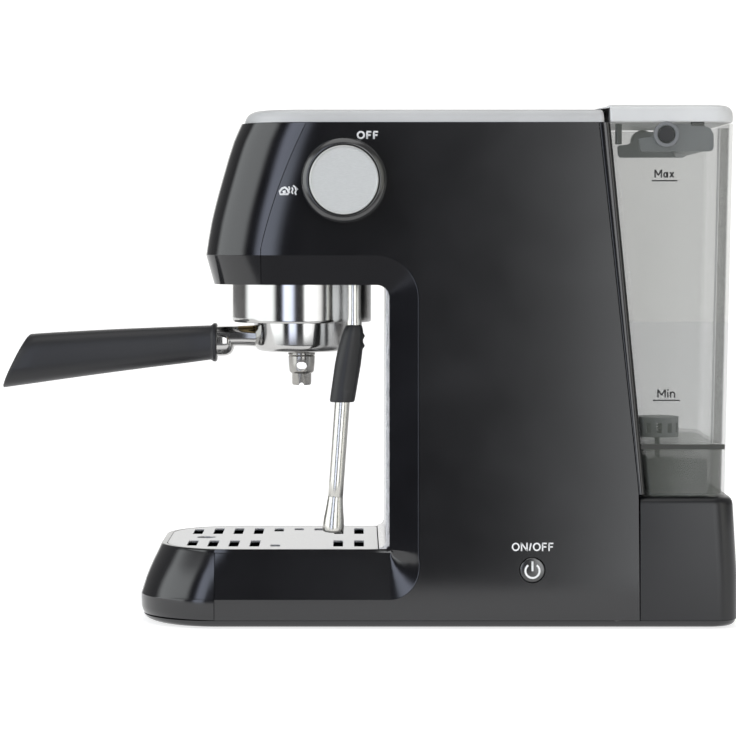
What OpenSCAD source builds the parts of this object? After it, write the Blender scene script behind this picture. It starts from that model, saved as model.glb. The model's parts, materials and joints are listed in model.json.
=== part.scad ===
// Slim espresso machine with a portafilter, steam wand and removable water tank.
// Frame: millimetres, +Z up, the front of the machine faces -Y, +X is the user's right.
// The origin lies on the worktop, at the centre of the base.

/* [Casing] */
// Overall width of the casing
body_w = 150; // [149:0.5:151]
// Wall thickness of the plastic casing
wall = 2.6; // [2.2:0.1:2.8]
// Height of the underside of the brewing head
head_z = 200; // [199.5:0.1:200.5]
// Height of the casing under the top plate
casing_top = 294.9; // [294.5:0.1:295.2]
// Corner radius of the head, seen from above
head_r = 38; // [34:1:40]
// Corner radius of the drip tray, seen from above
tray_r = 43; // [40:1:46]

/* [Group and portafilter] */
// Distance of the group axis in front of the origin
group_y = -80; // [-80.5:0.1:-79.5]
// Outer radius of the chrome group ring
ring_r = 42.25; // [42:0.05:42.4]
// Outer radius of the portafilter bowl
bowl_r = 29; // [28.5:0.1:29.2]

/* [Steam] */
// Sideways place of the steam wand
wand_x = 52; // [51.5:0.1:52.5]
// Fore and aft place of the wand's swivel
wand_y = -48.8; // [-49.2:0.1:-48.4]
// Radius of the steam pipe
pipe_r = 3.9; // [3.8:0.05:3.9]
// Radius of the steam knob's grip
knob_r = 24.2; // [23.8:0.1:25.5]

/* [Tray] */
// Height of the drip grate's top
grate_z = 45.5; // [45.3:0.1:45.7]
// Length of one slot in the grate
slot_l = 33; // [28:0.5:34]
// Width of one slot in the grate
slot_w = 5.7; // [4:0.1:6.5]
// Slots from front to rear in each row
slot_count = 9; // [7:1:9]

/* [Water tank] */
// Wall thickness of the tank
tank_wall = 2.2; // [2:0.1:2.4]
// Height of the tank's rim
tank_top = 294.6; // [294.4:0.1:294.7]
// Fore and aft place of the tank's valve
valve_y = 136; // [135.8:0.1:136.4]

/* [Hidden] */

fine = 64;
half_w = body_w / 2;
sliver = 0.02;

// Casing colours
black = "#2b2b2f";
silver = "#c8caca";
steel = "#b4b6b8";
chrome = "#d5d7da";
smoke = "#b5b7b0";
brass = "#b89a55";

// Heights and depths shared by several pieces
seam_rear_low = 117.3;
seam_rear_high = 94.3;
panel_gap = 0.3;
head_crease = 216.4;
head_low_half = 70;
lean_in = 2;
column_front = -27.2;
column_bevel = -10.7;
column_half = 69.5;
base_low = 4.9;
skirt_z = 17;
skirt_half = 66.9;
nose_seam = -129.6;
opening_r = 8;
foot_h = 3;
plate_low = 0.8;
socket_r = 8;

// The nose of the head in sections from its underside to its top: [height, front, half width]
HEAD_SECTIONS = [
  [head_z, -128.5, head_low_half],
  [head_z + 2.6, -132.4, head_low_half + 1.3],
  [head_crease, -136.2, half_w],
  [238, -133.1, half_w - 0.5],
  [262, -126.5, half_w - 1.1],
  [286, -119.9, half_w - 1.8],
  [casing_top, -114.8, half_w - lean_in]
];

// The front of the drip tray in sections: [height, front, half width]
TRAY_SECTIONS = [
  [base_low, -173, half_w - 1],
  [base_low + 3, -174.6, half_w],
  [skirt_z, -175, half_w],
  [31, -170.2, half_w - 3.6],
  [grate_z, -163, skirt_half]
];

// Seam between the front cover and the side panels: upright at first, then leaning back in a curve
seam_front = -102.5;
seam_bend = 221.5;
seam_lean = 0.226;
seam_curve = 0.00185;
seam_steps = 8;

function seam_depth(rise) = seam_front + seam_lean * rise + seam_curve * pow(rise, 2);

// The seam's points, from below: [depth, height]
COVER_SEAM = concat(
  [[seam_front, head_z], [seam_front, seam_bend]],
  [
    for (i = [1 : seam_steps])
      let (rise = (casing_top - seam_bend) * i / seam_steps)
        [seam_depth(rise), seam_bend + rise]
  ]
);

// ---------- helpers ----------

// Extrudes an outline drawn in depth and height across the machine, from x0 over a width
module across_from(x0, width) {
  translate([x0, 0, 0])
    rotate([90, 0, 90])
      linear_extrude(width)
        children();
}

module across(width) {
  across_from(-width / 2, width) children();
}

// Extrudes an outline drawn in width and height along the machine, from y0 over a length
module along_y(y0, length) {
  translate([0, y0 + length, 0])
    rotate([90, 0, 0])
      linear_extrude(length)
        children();
}

// Thin slice of a plan outline with round front corners and a straight rear
module plan_slice(z, half, front, rear, r) {
  translate([0, 0, z])
    linear_extrude(sliver)
      plan_outline(half, front, rear, r);
}

module plan_outline(half, front, rear, r) {
  for (side = [-1, 1])
    translate([side * (half - r), front + r])
      circle(r, $fn = 48);
  translate([-half, front + r])
    square([2 * half, rear - front - r]);
  translate([-(half - r), front])
    square([2 * (half - r), r + 1]);
}

// Rectangle with four round corners
module round_rect(low, high, r) {
  difference() {
    translate(low)
      square(high - low);
    for (sx = [0, 1], sy = [0, 1])
      translate([sx ? high[0] - r : low[0] + r, sy ? high[1] - r : low[1] + r])
        rotate((sx ? (sy ? 0 : 270) : (sy ? 90 : 180)))
          difference() {
            square(r + 1);
            circle(r, $fn = 48);
          }
  }
}

// Round bar between two points
module bar(from, to, r) {
  run = to - from;
  length = norm(run);
  translate(from)
    rotate([0, acos(run[2] / length), atan2(run[1], run[0])])
      cylinder(h = length, r = r, $fn = fine);
}

// Pipe along straight runs with slightly fuller ball joints where they meet
module pipe_run(points, r) {
  for (i = [0 : len(points) - 2])
    bar(points[i], points[i + 1], r);
  for (i = [1 : len(points) - 2])
    translate(points[i])
      sphere(r + 0.1, $fn = fine);
}

function unit(v) = v / norm(v);

// Route through the points with each corner rounded over a reach on both sides
function rounded_route(points, reach) = [
  points[0],
  for (i = [1 : len(points) - 2])
    let (
      corner = points[i],
      from = corner + reach * unit(points[i - 1] - corner),
      to = corner + reach * unit(points[i + 1] - corner)
    )
      for (t = [0 : 0.2 : 1])
        (1 - t) * (1 - t) * from + 2 * t * (1 - t) * corner + t * t * to,
  points[len(points) - 1]
];

// Flexible hose swept along a route that never runs along X
module hose(points, reach, r) {
  sides = 12;
  route = rounded_route(points, reach);
  last = len(route) - 1;
  rings = [
    for (i = [0 : last])
      let (
        ahead = unit(route[min(i + 1, last)] - route[max(i - 1, 0)]),
        across_run = unit([1, 0, 0] - ahead[0] * ahead),
        third = cross(ahead, across_run)
      )
        for (j = [0 : sides - 1])
          route[i] + r * (cos(j * 360 / sides) * across_run + sin(j * 360 / sides) * third)
  ];
  skin_and_caps(rings, last, sides);
}

// Closed solid over rings of points that follow one another
module skin_and_caps(rings, last, sides) {
  quads = [
    for (i = [0 : last - 1], j = [0 : sides - 1])
      let (k = (j + 1) % sides)
        [i * sides + j, (i + 1) * sides + j, (i + 1) * sides + k, i * sides + k]
  ];
  caps = [
    [for (j = [0 : sides - 1]) j],
    [for (j = [sides - 1 : -1 : 0]) last * sides + j]
  ];
  polyhedron(rings, concat(quads, caps), convexity = 8);
}

// Pipe along X, from x0 over a length, at a depth and a height
module rod_x(x0, length, y, z, r) {
  translate([x0, y, z])
    rotate([0, 90, 0])
      cylinder(h = length, r = r, $fn = fine);
}

module rod_z(x, y, z0, length, r) {
  translate([x, y, z0])
    cylinder(h = length, r = r, $fn = fine);
}

module tube_z(x, y, z0, length, outer, inner) {
  difference() {
    rod_z(x, y, z0, length, outer);
    rod_z(x, y, z0 - 1, length + 2, inner);
  }
}

module box(low, high) {
  translate(low)
    cube(high - low);
}

// Coil spring swept along a helix that stands on z = 0
module coil_spring(mean_r, wire_r, height, turns) {
  sides = 6;
  last = turns * 12;
  rise = (height - 2 * wire_r) / last;
  rings = [
    for (i = [0 : last], j = [0 : sides - 1])
      let (turn = i * 30, around = -j * 360 / sides, reach = mean_r + wire_r * cos(around))
        [reach * cos(turn), reach * sin(turn), wire_r + i * rise + wire_r * sin(around)]
  ];
  skin_and_caps(rings, last, sides);
}

// ---------- casing ----------

// Solid of the head; the core for its hollow is inset and taller
module head_solid(inset) {
  reach = inset > 0 ? 1 : 0;
  last = len(HEAD_SECTIONS) - 1;
  hull() {
    for (i = [0 : last]) {
      section = HEAD_SECTIONS[i];
      lift = i == 0 ? -reach : (i == last ? reach : 0);
      plan_slice(section[0] + lift - (i == last ? sliver : 0), section[2] - inset,
                 section[1] + inset, 130, head_r - inset);
    }
  }
}

// Column and rear of the base: full width behind the bevel
module column_solid(inset) {
  half = half_w - inset;
  front_half = column_half - inset;
  box([-half, column_bevel, 0], [half, 130, head_crease]);
  translate([0, 0, grate_z - 1])
    linear_extrude(160)
      polygon([
        [-half, column_bevel], [-front_half, column_front + inset],
        [front_half, column_front + inset], [half, column_bevel], [half, 0], [-half, 0]
      ]);
}

// Section of the base across the machine, leaning in above the skirt
module base_section(inset) {
  polygon([
    [-half_w + inset, 0], [half_w - inset, 0], [half_w - inset, skirt_z],
    [skirt_half - inset, grate_z], [skirt_half - inset, grate_z + 1],
    [-skirt_half + inset, grate_z + 1], [-skirt_half + inset, grate_z],
    [-half_w + inset, skirt_z]
  ]);
}

module base_solid(inset) {
  along_y(-140, 110.5)
    base_section(inset);
}

// Blends the leaning base into the straight column
module blend_solid(inset) {
  low_half = half_w - inset;
  high_half = skirt_half - inset;
  hull() {
    box([-low_half, -31, 0], [low_half, -30, skirt_z]);
    box([-high_half, -31, 0], [high_half, -30, grate_z + 1]);
    box([-low_half, column_bevel, 0], [low_half, column_bevel + 1, 52]);
  }
}

module casing_solid(inset) {
  head_solid(inset);
  column_solid(inset);
  base_solid(inset);
  blend_solid(inset);
}

// Outline of a side panel between its seams, drawn in depth and height
module side_outline() {
  polygon(concat(
    [
      [nose_seam + panel_gap, base_low], [seam_rear_low + 0.7, base_low],
      [seam_rear_low, 80], [seam_rear_high, casing_top]
    ],
    [for (i = [len(COVER_SEAM) - 1 : -1 : 0]) COVER_SEAM[i] + [panel_gap, 0]],
    [
      for (a = [90 : -7.5 : 0])
        [column_front - opening_r + opening_r * cos(a), head_z - opening_r + opening_r * sin(a)]
    ],
    [[column_front, grate_z], [nose_seam + panel_gap, grate_z]]
  ));
}

knob_y = -54;
knob_z = 261;
power_y = 55.6;
power_z = 34.3;
power_r = 7.25;
flange_x = 62;
ledge_z = 43.7;
ledge_x = 66.2;

module side_panel() {
  difference() {
    intersection() {
      casing_solid(0);
      across_from(flange_x, 20)
        side_outline();
    }
    casing_solid(wall);
    box([flange_x - 1, nose_seam - 1, ledge_z], [ledge_x, column_front - 0.1, grate_z + 2]);
  }
}

module side_panel_right() {
  color(black)
    difference() {
      side_panel();
      rod_x(half_w - 10, 20, knob_y, knob_z, 6);
      rod_x(half_w - 10, 20, power_y, power_z, power_r + 0.3);
    }
}

module side_panel_left() {
  color(black)
    mirror([1, 0, 0])
      side_panel();
}

// Front buttons sit across the sloping nose
button_z = 252;
button_y = -130.1;
button_r = 8;
button_pitch = 26;
nose_tilt = 15.5;

// Round bar along the nose's normal, centred on a front button
module button_bar(x, depth, length, r) {
  translate([x, button_y, button_z])
    rotate([90 - nose_tilt, 0, 0])
      translate([0, 0, -depth])
        cylinder(h = length, r = r, $fn = fine);
}

module front_cover() {
  color(black)
    difference() {
      intersection() {
        head_solid(0);
        across(160)
          polygon(concat(COVER_SEAM, [[-150, casing_top], [-150, head_z]]));
      }
      head_solid(wall);
      for (i = [-1 : 1])
        button_bar(i * button_pitch, 12, 30, button_r + 0.3);
    }
}

module head_underside() {
  inset = wall + 0.5;
  color(black)
    translate([0, 0, head_z])
      difference() {
        linear_extrude(2.2)
          plan_outline(head_low_half - inset, HEAD_SECTIONS[0][1] + inset, column_front + 2.8,
                       head_r - inset);
        rod_z(0, group_y, -1, 5, ring_r + 0.3);
        rod_z(wand_x, wand_y, -1, 5, pipe_r + 1.5);
      }
}

top_low = casing_top + 0.1;
top_high = 302.4;
top_rear = 97.8;

module top_plate() {
  color(silver)
    difference() {
      hull() {
        plan_slice(top_low, half_w - lean_in - 0.2, -113.2, top_rear, head_r - 2);
        plan_slice(299, half_w - lean_in - 0.6, -110.4, top_rear, head_r - 4);
        plan_slice(301.4, half_w - lean_in - 2, -107.4, top_rear, head_r - 6);
        plan_slice(top_high - sliver, half_w - lean_in - 4.5, -104.4, top_rear, head_r - 8);
      }
      translate([0, 0, top_high - 1.2])
        linear_extrude(5)
          plan_outline(62, -97, 88, 26);
    }
}

splash_front = -29.5;
cove_r = 4;

module backsplash() {
  back = column_front - 0.1;
  foot = grate_z + 0.1;
  color(steel)
    across(135.6)
      polygon(concat(
        [[splash_front, head_z - 0.2]],
        [
          for (a = [0 : -15 : -90])
            [splash_front - cove_r + cove_r * cos(a), foot + 0.8 + cove_r + cove_r * sin(a)]
        ],
        [[splash_front - cove_r, foot], [back, foot], [back, head_z - 0.2]]
      ));
}

module rear_spine() {
  spine_depth = 7;
  gap = 0.4;
  color(black)
    difference() {
      intersection() {
        union() {
          head_solid(0);
          column_solid(0);
        }
        across(160)
          polygon([
            [seam_rear_low + gap, 78], [seam_rear_high + gap, casing_top],
            [seam_rear_high + spine_depth, casing_top], [seam_rear_low + spine_depth - 3, 78]
          ]);
      }
      across(2 * (half_w - 6))
        polygon([
          [seam_rear_low - 8, 70], [seam_rear_high - 8, casing_top + 2],
          [seam_rear_high + spine_depth - wall, casing_top + 2],
          [seam_rear_low + spine_depth - 3 - wall, 70]
        ]);
    }
}

dock_top = 76.3;
dock_rear = 176;
pedestal_low = [-56, 125.6];
pedestal_high = [56, 160.4];
pedestal_z = 97.7;
hose_r = 3.4;
screw_y = [-16, 150];
screw_x = 52;

module tank_dock() {
  corner = 12;
  front = seam_rear_low + 1.1;
  gland_x = -45;
  color(black)
    difference() {
      union() {
        difference() {
          intersection() {
            translate([0, 0, base_low])
              linear_extrude(dock_top - base_low)
                dock_outline(0, front, corner);
            dock_profile(0, front);
          }
          intersection() {
            translate([0, 0, base_low - 1])
              linear_extrude(dock_top - base_low)
                dock_outline(wall, front - 5, corner);
            dock_profile(wall, front - 5);
          }
        }
        translate([0, 0, dock_top - 1])
          linear_extrude(pedestal_z - dock_top + 1)
            round_rect(pedestal_low, pedestal_high, 6);
        rod_z(0, valve_y, dock_top - 12, 12, 12.4);
        for (side = [-1, 1]) {
          rod_z(side * screw_x, screw_y[1], base_low, 16, 5);
          box([side * screw_x - 1.5, screw_y[1] + 3, base_low],
              [side * screw_x + 1.5, dock_rear - 1.4, base_low + 14]);
        }
      }
      rod_z(0, valve_y, dock_top - 9, 40, 9.9);
      rod_z(0, valve_y, dock_top - 20, 40, hose_r + 0.05);
      for (side = [-1, 1])
        rod_z(side * screw_x, screw_y[1], 0, 15, 1.8);
      translate([gland_x, 160, 25])
        rotate([-90, 0, 0])
          cylinder(h = 30, r = gland_r, $fn = fine);
    }
}

module dock_outline(inset, front, corner) {
  half = half_w - inset;
  rear = dock_rear - inset;
  for (side = [-1, 1])
    translate([side * (half - corner), rear - corner])
      circle(corner - inset / 2, $fn = 48);
  translate([-half, front])
    square([2 * half, rear - corner - front]);
  translate([-(half - corner), front])
    square([2 * (half - corner), rear - front]);
}

module dock_profile(inset, front) {
  r = 5;
  top = dock_top - inset;
  rear = dock_rear - inset;
  across(160)
    polygon(concat(
      [[front, 0], [rear, 0], [rear, 30]],
      [for (a = [0 : 15 : 90]) [rear - 2.4 - r + r * cos(a), top - r + r * sin(a)]],
      [[front, top]]
    ));
}

module base_plate() {
  corner = 12;
  color(black)
    difference() {
      translate([0, 0, plate_low])
        linear_extrude(base_low - 0.3 - plate_low) {
          plan_outline(half_w - 0.6, -173.4, 160, tray_r);
          dock_outline(0.6, 0, corner);
        }
      for (x = [-1, 1], y = foot_y)
        rod_z(x * foot_x, y, 0, foot_h, foot_r);
      for (side = [-1, 1], y = screw_y) {
        rod_z(side * screw_x, y, 0, 10, 1.8);
        rod_z(side * screw_x, y, 0, 2.8, 3.6);
      }
    }
}

foot_x = 58;
foot_y = [-125, 160];
foot_r = 8;

module rubber_feet() {
  color("#1c1c1e")
    for (x = [-1, 1], y = foot_y)
      rod_z(x * foot_x, y, 0, foot_h, foot_r);
}

module base_screws() {
  color(steel)
    for (side = [-1, 1], y = screw_y) {
      rod_z(side * screw_x, y, 2.8, 12, 1.8);
      rod_z(side * screw_x, y, 1, 1.8, 3.6);
    }
}

frame_y = column_front + 3;
shelf_low = head_z + 2.4;
shelf_high = shelf_low + 2;
shelf_half = 64;
shelf_front = -108;

module inner_frame() {
  color("#8c8f93")
    difference() {
      union() {
        box([-60, frame_y, base_low], [60, frame_y + 2, shelf_high]);
        box([-shelf_half, shelf_front, shelf_low], [shelf_half, 88, shelf_high]);
        for (side = [-1, 1])
          box([side * screw_x - 7, frame_y, base_low], [side * screw_x + 7, -8, 20]);
      }
      rod_z(0, group_y, shelf_low - 1, 5, ring_r + 0.2);
      rod_z(wand_x, wand_y, shelf_low - 1, 5, socket_r + 0.2);
      rod_z(pump_x, pump_y, shelf_low - 1, 5, 6);
      for (side = [-1, 1])
        rod_z(side * screw_x, screw_y[0], 0, 14.8, 1.8);
    }
}

gland_r = 6;
gland_bore = 3.6;

module cord_gland() {
  color("#1c1c1e")
    translate([-45, dock_rear - 11, 25])
      rotate([-90, 0, 0])
        difference() {
          union() {
            cylinder(h = 8.2, r = 8.5, $fn = fine);
            cylinder(h = 11, r = gland_r, $fn = fine);
          }
          translate([0, 0, -1])
            cylinder(h = 20, r = gland_bore, $fn = fine);
        }
}

// ---------- brewing group ----------

ring_low = 176.5;
collar_r = 39;
basket_top = 186.9;

module group_ring() {
  color(chrome)
    tube_z(0, group_y, ring_low, shelf_low + 2 - ring_low, ring_r, collar_r + 0.1);
}

module group_head() {
  ear_gap = 20;
  unlock = 55;
  color(brass)
    difference() {
      union() {
        tube_z(0, group_y, ring_low + 2, 27.5, collar_r, 35);
        tube_z(0, group_y, ring_low + 2, 4, 35.5, 30.2);
        rod_z(0, group_y, 192, 14, 35.5);
        rod_z(0, group_y, 187, 6, 23);
      }
      rod_z(0, group_y, 180, 22, 2.4);
      for (side = [0, 180])
        translate([0, group_y, ring_low + 1])
          rotate([0, 0, side - unlock - ear_gap])
            linear_extrude(5.2)
              polygon([
                [0, 0],
                for (a = [0 : 5 : 2 * ear_gap]) [34.8 * cos(a), 34.8 * sin(a)]
              ]);
    }
}

module group_gasket() {
  color("#4a4744")
    tube_z(0, group_y, basket_top + 0.2, 192 - basket_top - 0.2, 33, 25.6);
}

module shower_screen() {
  color(steel)
    difference() {
      rod_z(0, group_y, 185.4, 1.6, 24);
      rod_z(0, group_y, 180, 10, 2.4);
      for (ring = [1 : 3], i = [0 : 6 * ring - 1])
        rod_z(6.4 * ring * cos(i * 60 / ring), group_y + 6.4 * ring * sin(i * 60 / ring), 180, 10, 1);
    }
}

module shower_screw() {
  color(steel) {
    rod_z(0, group_y, 184, 1.4, 4.4);
    rod_z(0, group_y, 185.4, 14, 2.4);
  }
}

block_low = 206.1;
block_high = 230;
block_half = 37;
block_front = -115;
block_rear = -45;
block_screw = 6;

module thermoblock_body() {
  color("#a7a9ac")
    difference() {
      translate([0, 0, block_low])
        linear_extrude(block_high - block_low)
          round_rect([-block_half, block_front], [block_half, block_rear], 8);
      block_screws(216, 30, 2);
    }
}

module block_screws(z0, length, r) {
  for (side = [-1, 1], y = [block_front + block_screw, block_rear - block_screw])
    rod_z(side * (block_half - block_screw), y, z0, length, r);
}

module thermoblock_cover() {
  color("#9a9c9f")
    difference() {
      translate([0, 0, block_high])
        linear_extrude(9)
          round_rect([-block_half, block_front], [block_half, block_rear], 8);
      block_screws(216, 30, 2);
    }
}

module thermoblock_screws() {
  color(steel) {
    block_screws(216.2, 22.8, 2);
    block_screws(239, 3, 3.6);
  }
}

module thermostats() {
  color("#e0ddd5")
    for (side = [-1, 1]) {
      rod_z(side * 15, group_y, 239, 5, 8);
      rod_z(side * 15, group_y, 244, 4, 5);
    }
}

// ---------- portafilter ----------

neck_z = 167.7;
neck_h = 12.2;
handle_front = -131.5;

module portafilter_holder() {
  color(chrome)
    difference() {
      union() {
        rod_z(0, group_y, 162, 23, bowl_r);
        translate([0, group_y, 158.4])
          cylinder(h = 3.6, r1 = bowl_r - 3, r2 = bowl_r, $fn = fine);
        for (side = [0, 180])
          translate([0, group_y, 182.8])
            rotate([0, 0, side - 14])
              linear_extrude(3)
                polygon([
                  [20, 0],
                  for (a = [0 : 4 : 28]) [34.2 * cos(a), 34.2 * sin(a)],
                  [20 * cos(28), 20 * sin(28)]
                ]);
        translate([0, group_y - bowl_r + 3, neck_z])
          rotate([90, 0, 0])
            linear_extrude(group_y - bowl_r + 3 - handle_front - 0.1)
              round_rect([-8, -neck_h / 2], [8, neck_h / 2], 4);
        bar([0, handle_front + 11, 164.6], [0, handle_front + 0.1, 164.6], 9);
        bar([0, handle_front - 0.1, 164.2], [0, handle_front - 60, 160.2], 3.5);
      }
      rod_z(0, group_y, 160.9, 40, 26.8);
      rod_z(0, group_y, 150, 20, 3.5);
    }
}

module filter_basket() {
  color(steel)
    difference() {
      union() {
        rod_z(0, group_y, 163, 22, 26.2);
        rod_z(0, group_y, basket_top - 1.1, 1.1, 29.6);
        rod_z(0, group_y, 184, 3, 26.2);
      }
      rod_z(0, group_y, 163.6, 40, 25.5);
      for (ring = [1 : 3], i = [0 : 6 * ring - 1])
        rod_z(6 * ring * cos(i * 60 / ring), group_y + 6 * ring * sin(i * 60 / ring), 160, 10, 0.8);
    }
}

spout_low = 138.2;
spout_step = 146;
spout_high = 158.4;

module portafilter_spout() {
  color(chrome)
    difference() {
      union() {
        translate([0, group_y, spout_step])
          cylinder(h = spout_high - spout_step, r1 = 7.5, r2 = 8.2, $fn = fine);
        rod_z(0, group_y, spout_low, spout_step - spout_low + 1, 5.9);
        rod_z(0, group_y, spout_high, 2.4, 3.5);
      }
      rod_z(0, group_y, spout_low - 1, 14.5, 3.6);
      rod_z(0, group_y, 150, 20, 2);
      rod_x(-12, 24, group_y, 149.8, 2.6);
    }
}

// Handle in sections along its length: [depth, bottom, top, half width]
HANDLE_SECTIONS = [
  [handle_front, 153.3, 174.4, 11.5],
  [handle_front - 6, 152.8, 174, 11.5],
  [-190, 146.4, 172.2, 13.5],
  [-243, 139, 169, 14],
  [-250, 137.6, 161, 13],
  [-257, 136.4, 147, 11]
];

module portafilter_handle() {
  color("#1f1f22")
    difference() {
      hull() {
        for (s = HANDLE_SECTIONS)
          handle_slice(s[0], s[1], s[2], s[3]);
        translate([0, -260.2, 137.8])
          sphere(2, $fn = 24);
      }
      bar([0, handle_front + 2, 164.33], [0, handle_front - 60, 160.2], 3.5);
    }
}

module handle_slice(y, low, high, half) {
  r = min(8, (high - low) / 2 - 0.1);
  along_y(y - sliver, sliver)
    for (x = [-1, 1], z = [low + r, high - r])
      translate([x * (half - r), z])
        circle(r, $fn = 32);
}

// ---------- steam ----------

// Axis of the wand from its swivel down to the tip
WAND = [
  [wand_x, wand_y, 213], [wand_x, wand_y, 176], [wand_x, wand_y - 7, 131],
  [wand_x, wand_y - 11.8, 54]
];

module wand_socket() {
  color(steel)
    difference() {
      rod_z(wand_x, wand_y, head_z + 2.4, 14.6, socket_r);
      rod_z(wand_x, wand_y, head_z, 13.2, pipe_r + 0.05);
      rod_z(wand_x, wand_y, head_z, 30, 1.5);
    }
}

module steam_pipe() {
  color(chrome)
    difference() {
      union() {
        pipe_run([WAND[0], WAND[1], WAND[2] + 0.03 * (WAND[1] - WAND[2])], pipe_r);
        translate([wand_x, wand_y, 175.9])
          cylinder(h = 3, r1 = pipe_r + 0.6, r2 = pipe_r, $fn = fine);
      }
      rod_z(wand_x, wand_y, 180, 40, 1.5);
    }
}

module wand_grip() {
  color("#1c1c1e")
    difference() {
      union() {
        hull() {
          grip_slice(131, 5.6, 7);
          grip_slice(150, 6.4, 7.2);
          grip_slice(172, 6.8, 7.4);
          grip_slice(175.8, 6.2, 6.6);
        }
        for (z = [163.5, 169.5])
          translate([0, 6.4, 0])
            hull() {
              grip_slice(z - 1.8, 3.4, 2.2);
              grip_slice(z + 1.8, 3, 1.8);
            }
      }
      pipe_run([WAND[0], WAND[1], WAND[2]], pipe_r);
      rod_z(wand_x, wand_y, 175.6, 5, pipe_r + 0.6);
    }
}

// Oval slice of the grip around the wand's axis at one height
module grip_slice(z, half_x, half_y) {
  lean = (176 - z) * 7 / 45;
  translate([wand_x, wand_y - lean, z])
    linear_extrude(sliver)
      scale([half_x, half_y])
        circle(1, $fn = 32);
}

module froth_sleeve() {
  run = WAND[3] - WAND[2];
  length = norm(run) - 0.4;
  sleeve_r = 4.45;
  tip_r = 6.3;
  bore = 3;
  color(steel)
    translate(WAND[3])
      rotate([-atan2(run[1], run[2]) + 180, 0, 0])
        rotate_extrude($fn = fine)
          polygon([
            [bore, 0], [tip_r, 0], [tip_r, 6], [sleeve_r, 20], [sleeve_r, length],
            [0, length], [0, 14], [bore, 14]
          ]);
}

spindle_r = 3;

module steam_valve_body() {
  color(brass)
    difference() {
      union() {
        box([44, knob_y - 11, knob_z - 11], [64, knob_y + 11, knob_z + 11]);
        rod_x(64, 6, knob_y, knob_z, 7);
      }
      rod_x(50, 30, knob_y, knob_z, spindle_r + 0.05);
      rod_z(wand_x, wand_y, 240, 14, 1.5);
    }
}

module steam_tube() {
  color("#b87a4a")
    tube_z(wand_x, wand_y, 217, knob_z - 11 - 217, 2.5, 1.5);
}

bezel_x = half_w - 0.2;

module knob_bezel() {
  color(black)
    difference() {
      rod_x(bezel_x, 1.6, knob_y, knob_z, knob_r + 0.7);
      rod_x(bezel_x - 1, 5, knob_y, knob_z, 6);
    }
}

knob_low = bezel_x + 2;
knob_high = knob_low + 14;

module knob_grip() {
  color("#1f1f22")
    difference() {
      translate([knob_low, knob_y, knob_z])
        rotate([0, 90, 0]) {
          cylinder(h = 10, r1 = knob_r, r2 = knob_r - 0.8, $fn = fine);
          translate([0, 0, 10])
            cylinder(h = 4, r1 = knob_r - 0.8, r2 = knob_r - 2.6, $fn = fine);
        }
      rod_x(knob_high - 1.4, 5, knob_y, knob_z, 20.3);
      rod_x(knob_low - 1, 10, knob_y, knob_z, spindle_r);
    }
}

module knob_face() {
  color(silver)
    rod_x(knob_high - 1.4, 1.8, knob_y, knob_z, 20);
}

module valve_spindle() {
  color(brass)
    rod_x(52, knob_low + 9 - 52, knob_y, knob_z, spindle_r);
}

// ---------- controls and electrics ----------

press = 1.5;

module power_button() {
  color("#1f1f22") {
    rod_x(half_w - 3, 3.6, power_y, power_z, power_r);
    rod_x(half_w - 5, 3, power_y, power_z, 3);
  }
}

module power_switch() {
  color("#3a3a3e")
    box([54, power_y - 9, power_z - 9], [half_w - 5 - press - 0.4, power_y + 9, power_z + 9]);
}

module front_button(i) {
  color("#c8caca") {
    button_bar(i * button_pitch, 3.8, 3.5, button_r);
    button_bar(i * button_pitch, 6, 3, 3);
  }
}

module brew_one_button() { front_button(-1); }
module brew_two_button() { front_button(0); }
module steam_button() { front_button(1); }

module control_board() {
  color("#2f6b46") {
    box([-60.6, 10, 214], [-59, 72, 280]);
    box([-59, 18, 226], [-46, 34, 246]);
    box([-59, 42, 226], [-50, 56, 240]);
  }
}

// ---------- pump ----------

pump_x = -25;
pump_y = 45;
pump_low = 60;
pump_high = 152;
piston_r = 5;

module pump_body() {
  color("#d8d5cc")
    difference() {
      union() {
        rod_z(pump_x, pump_y, pump_low, pump_high - pump_low, 8);
        rod_z(pump_x, pump_y, pump_low - 8, 9, 4);
        rod_z(pump_x, pump_y, pump_high - 1, 9, 4);
      }
      rod_z(pump_x, pump_y, pump_low + 6, pump_high - pump_low - 12, piston_r + 0.05);
      rod_z(pump_x, pump_y, pump_low - 10, pump_high - pump_low + 30, 1.5);
    }
}

module pump_coil() {
  color("#55585c")
    difference() {
      translate([pump_x, pump_y, 84])
        linear_extrude(44)
          round_rect([-20, -20], [20, 20], 3);
      rod_z(pump_x, pump_y, 80, 60, 8);
    }
}

module pump_mounts() {
  color("#1c1c1e")
    for (z = [pump_low + 6, pump_high - 12])
      tube_z(pump_x, pump_y, z, 6, 14, 8);
}

module pump_piston() {
  color(steel)
    rod_z(pump_x, pump_y, 84, 44, piston_r);
}

module pump_spring() {
  color(steel)
    translate([pump_x, pump_y, 128.1])
      coil_spring(3.9, 0.6, 17.6, 5);
}

module relief_valve() {
  color(brass)
    difference() {
      rod_z(pump_x, pump_y, 160.4, 14, 6.5);
      rod_z(pump_x, pump_y, 150, 50, 1.5);
    }
}

module pressure_hose() {
  color("#e6e6e2")
    hose([
      [pump_x, pump_y, 174.6], [pump_x, pump_y, 222], [pump_x, block_rear + 0.1, 222]
    ], 16, 2.6);
}

module suction_hose() {
  color("#e6e6e2")
    hose([
      [0, valve_y, 67.2], [0, valve_y, 40], [pump_x, 100, 34], [pump_x, pump_y, 34],
      [pump_x, pump_y, pump_low - 8.2]
    ], 14, hose_r);
}

// ---------- drip tray ----------

grate_low = 44;
tray_rear = -36.6;
tub_half = 63.2;
float_y = -138;

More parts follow.
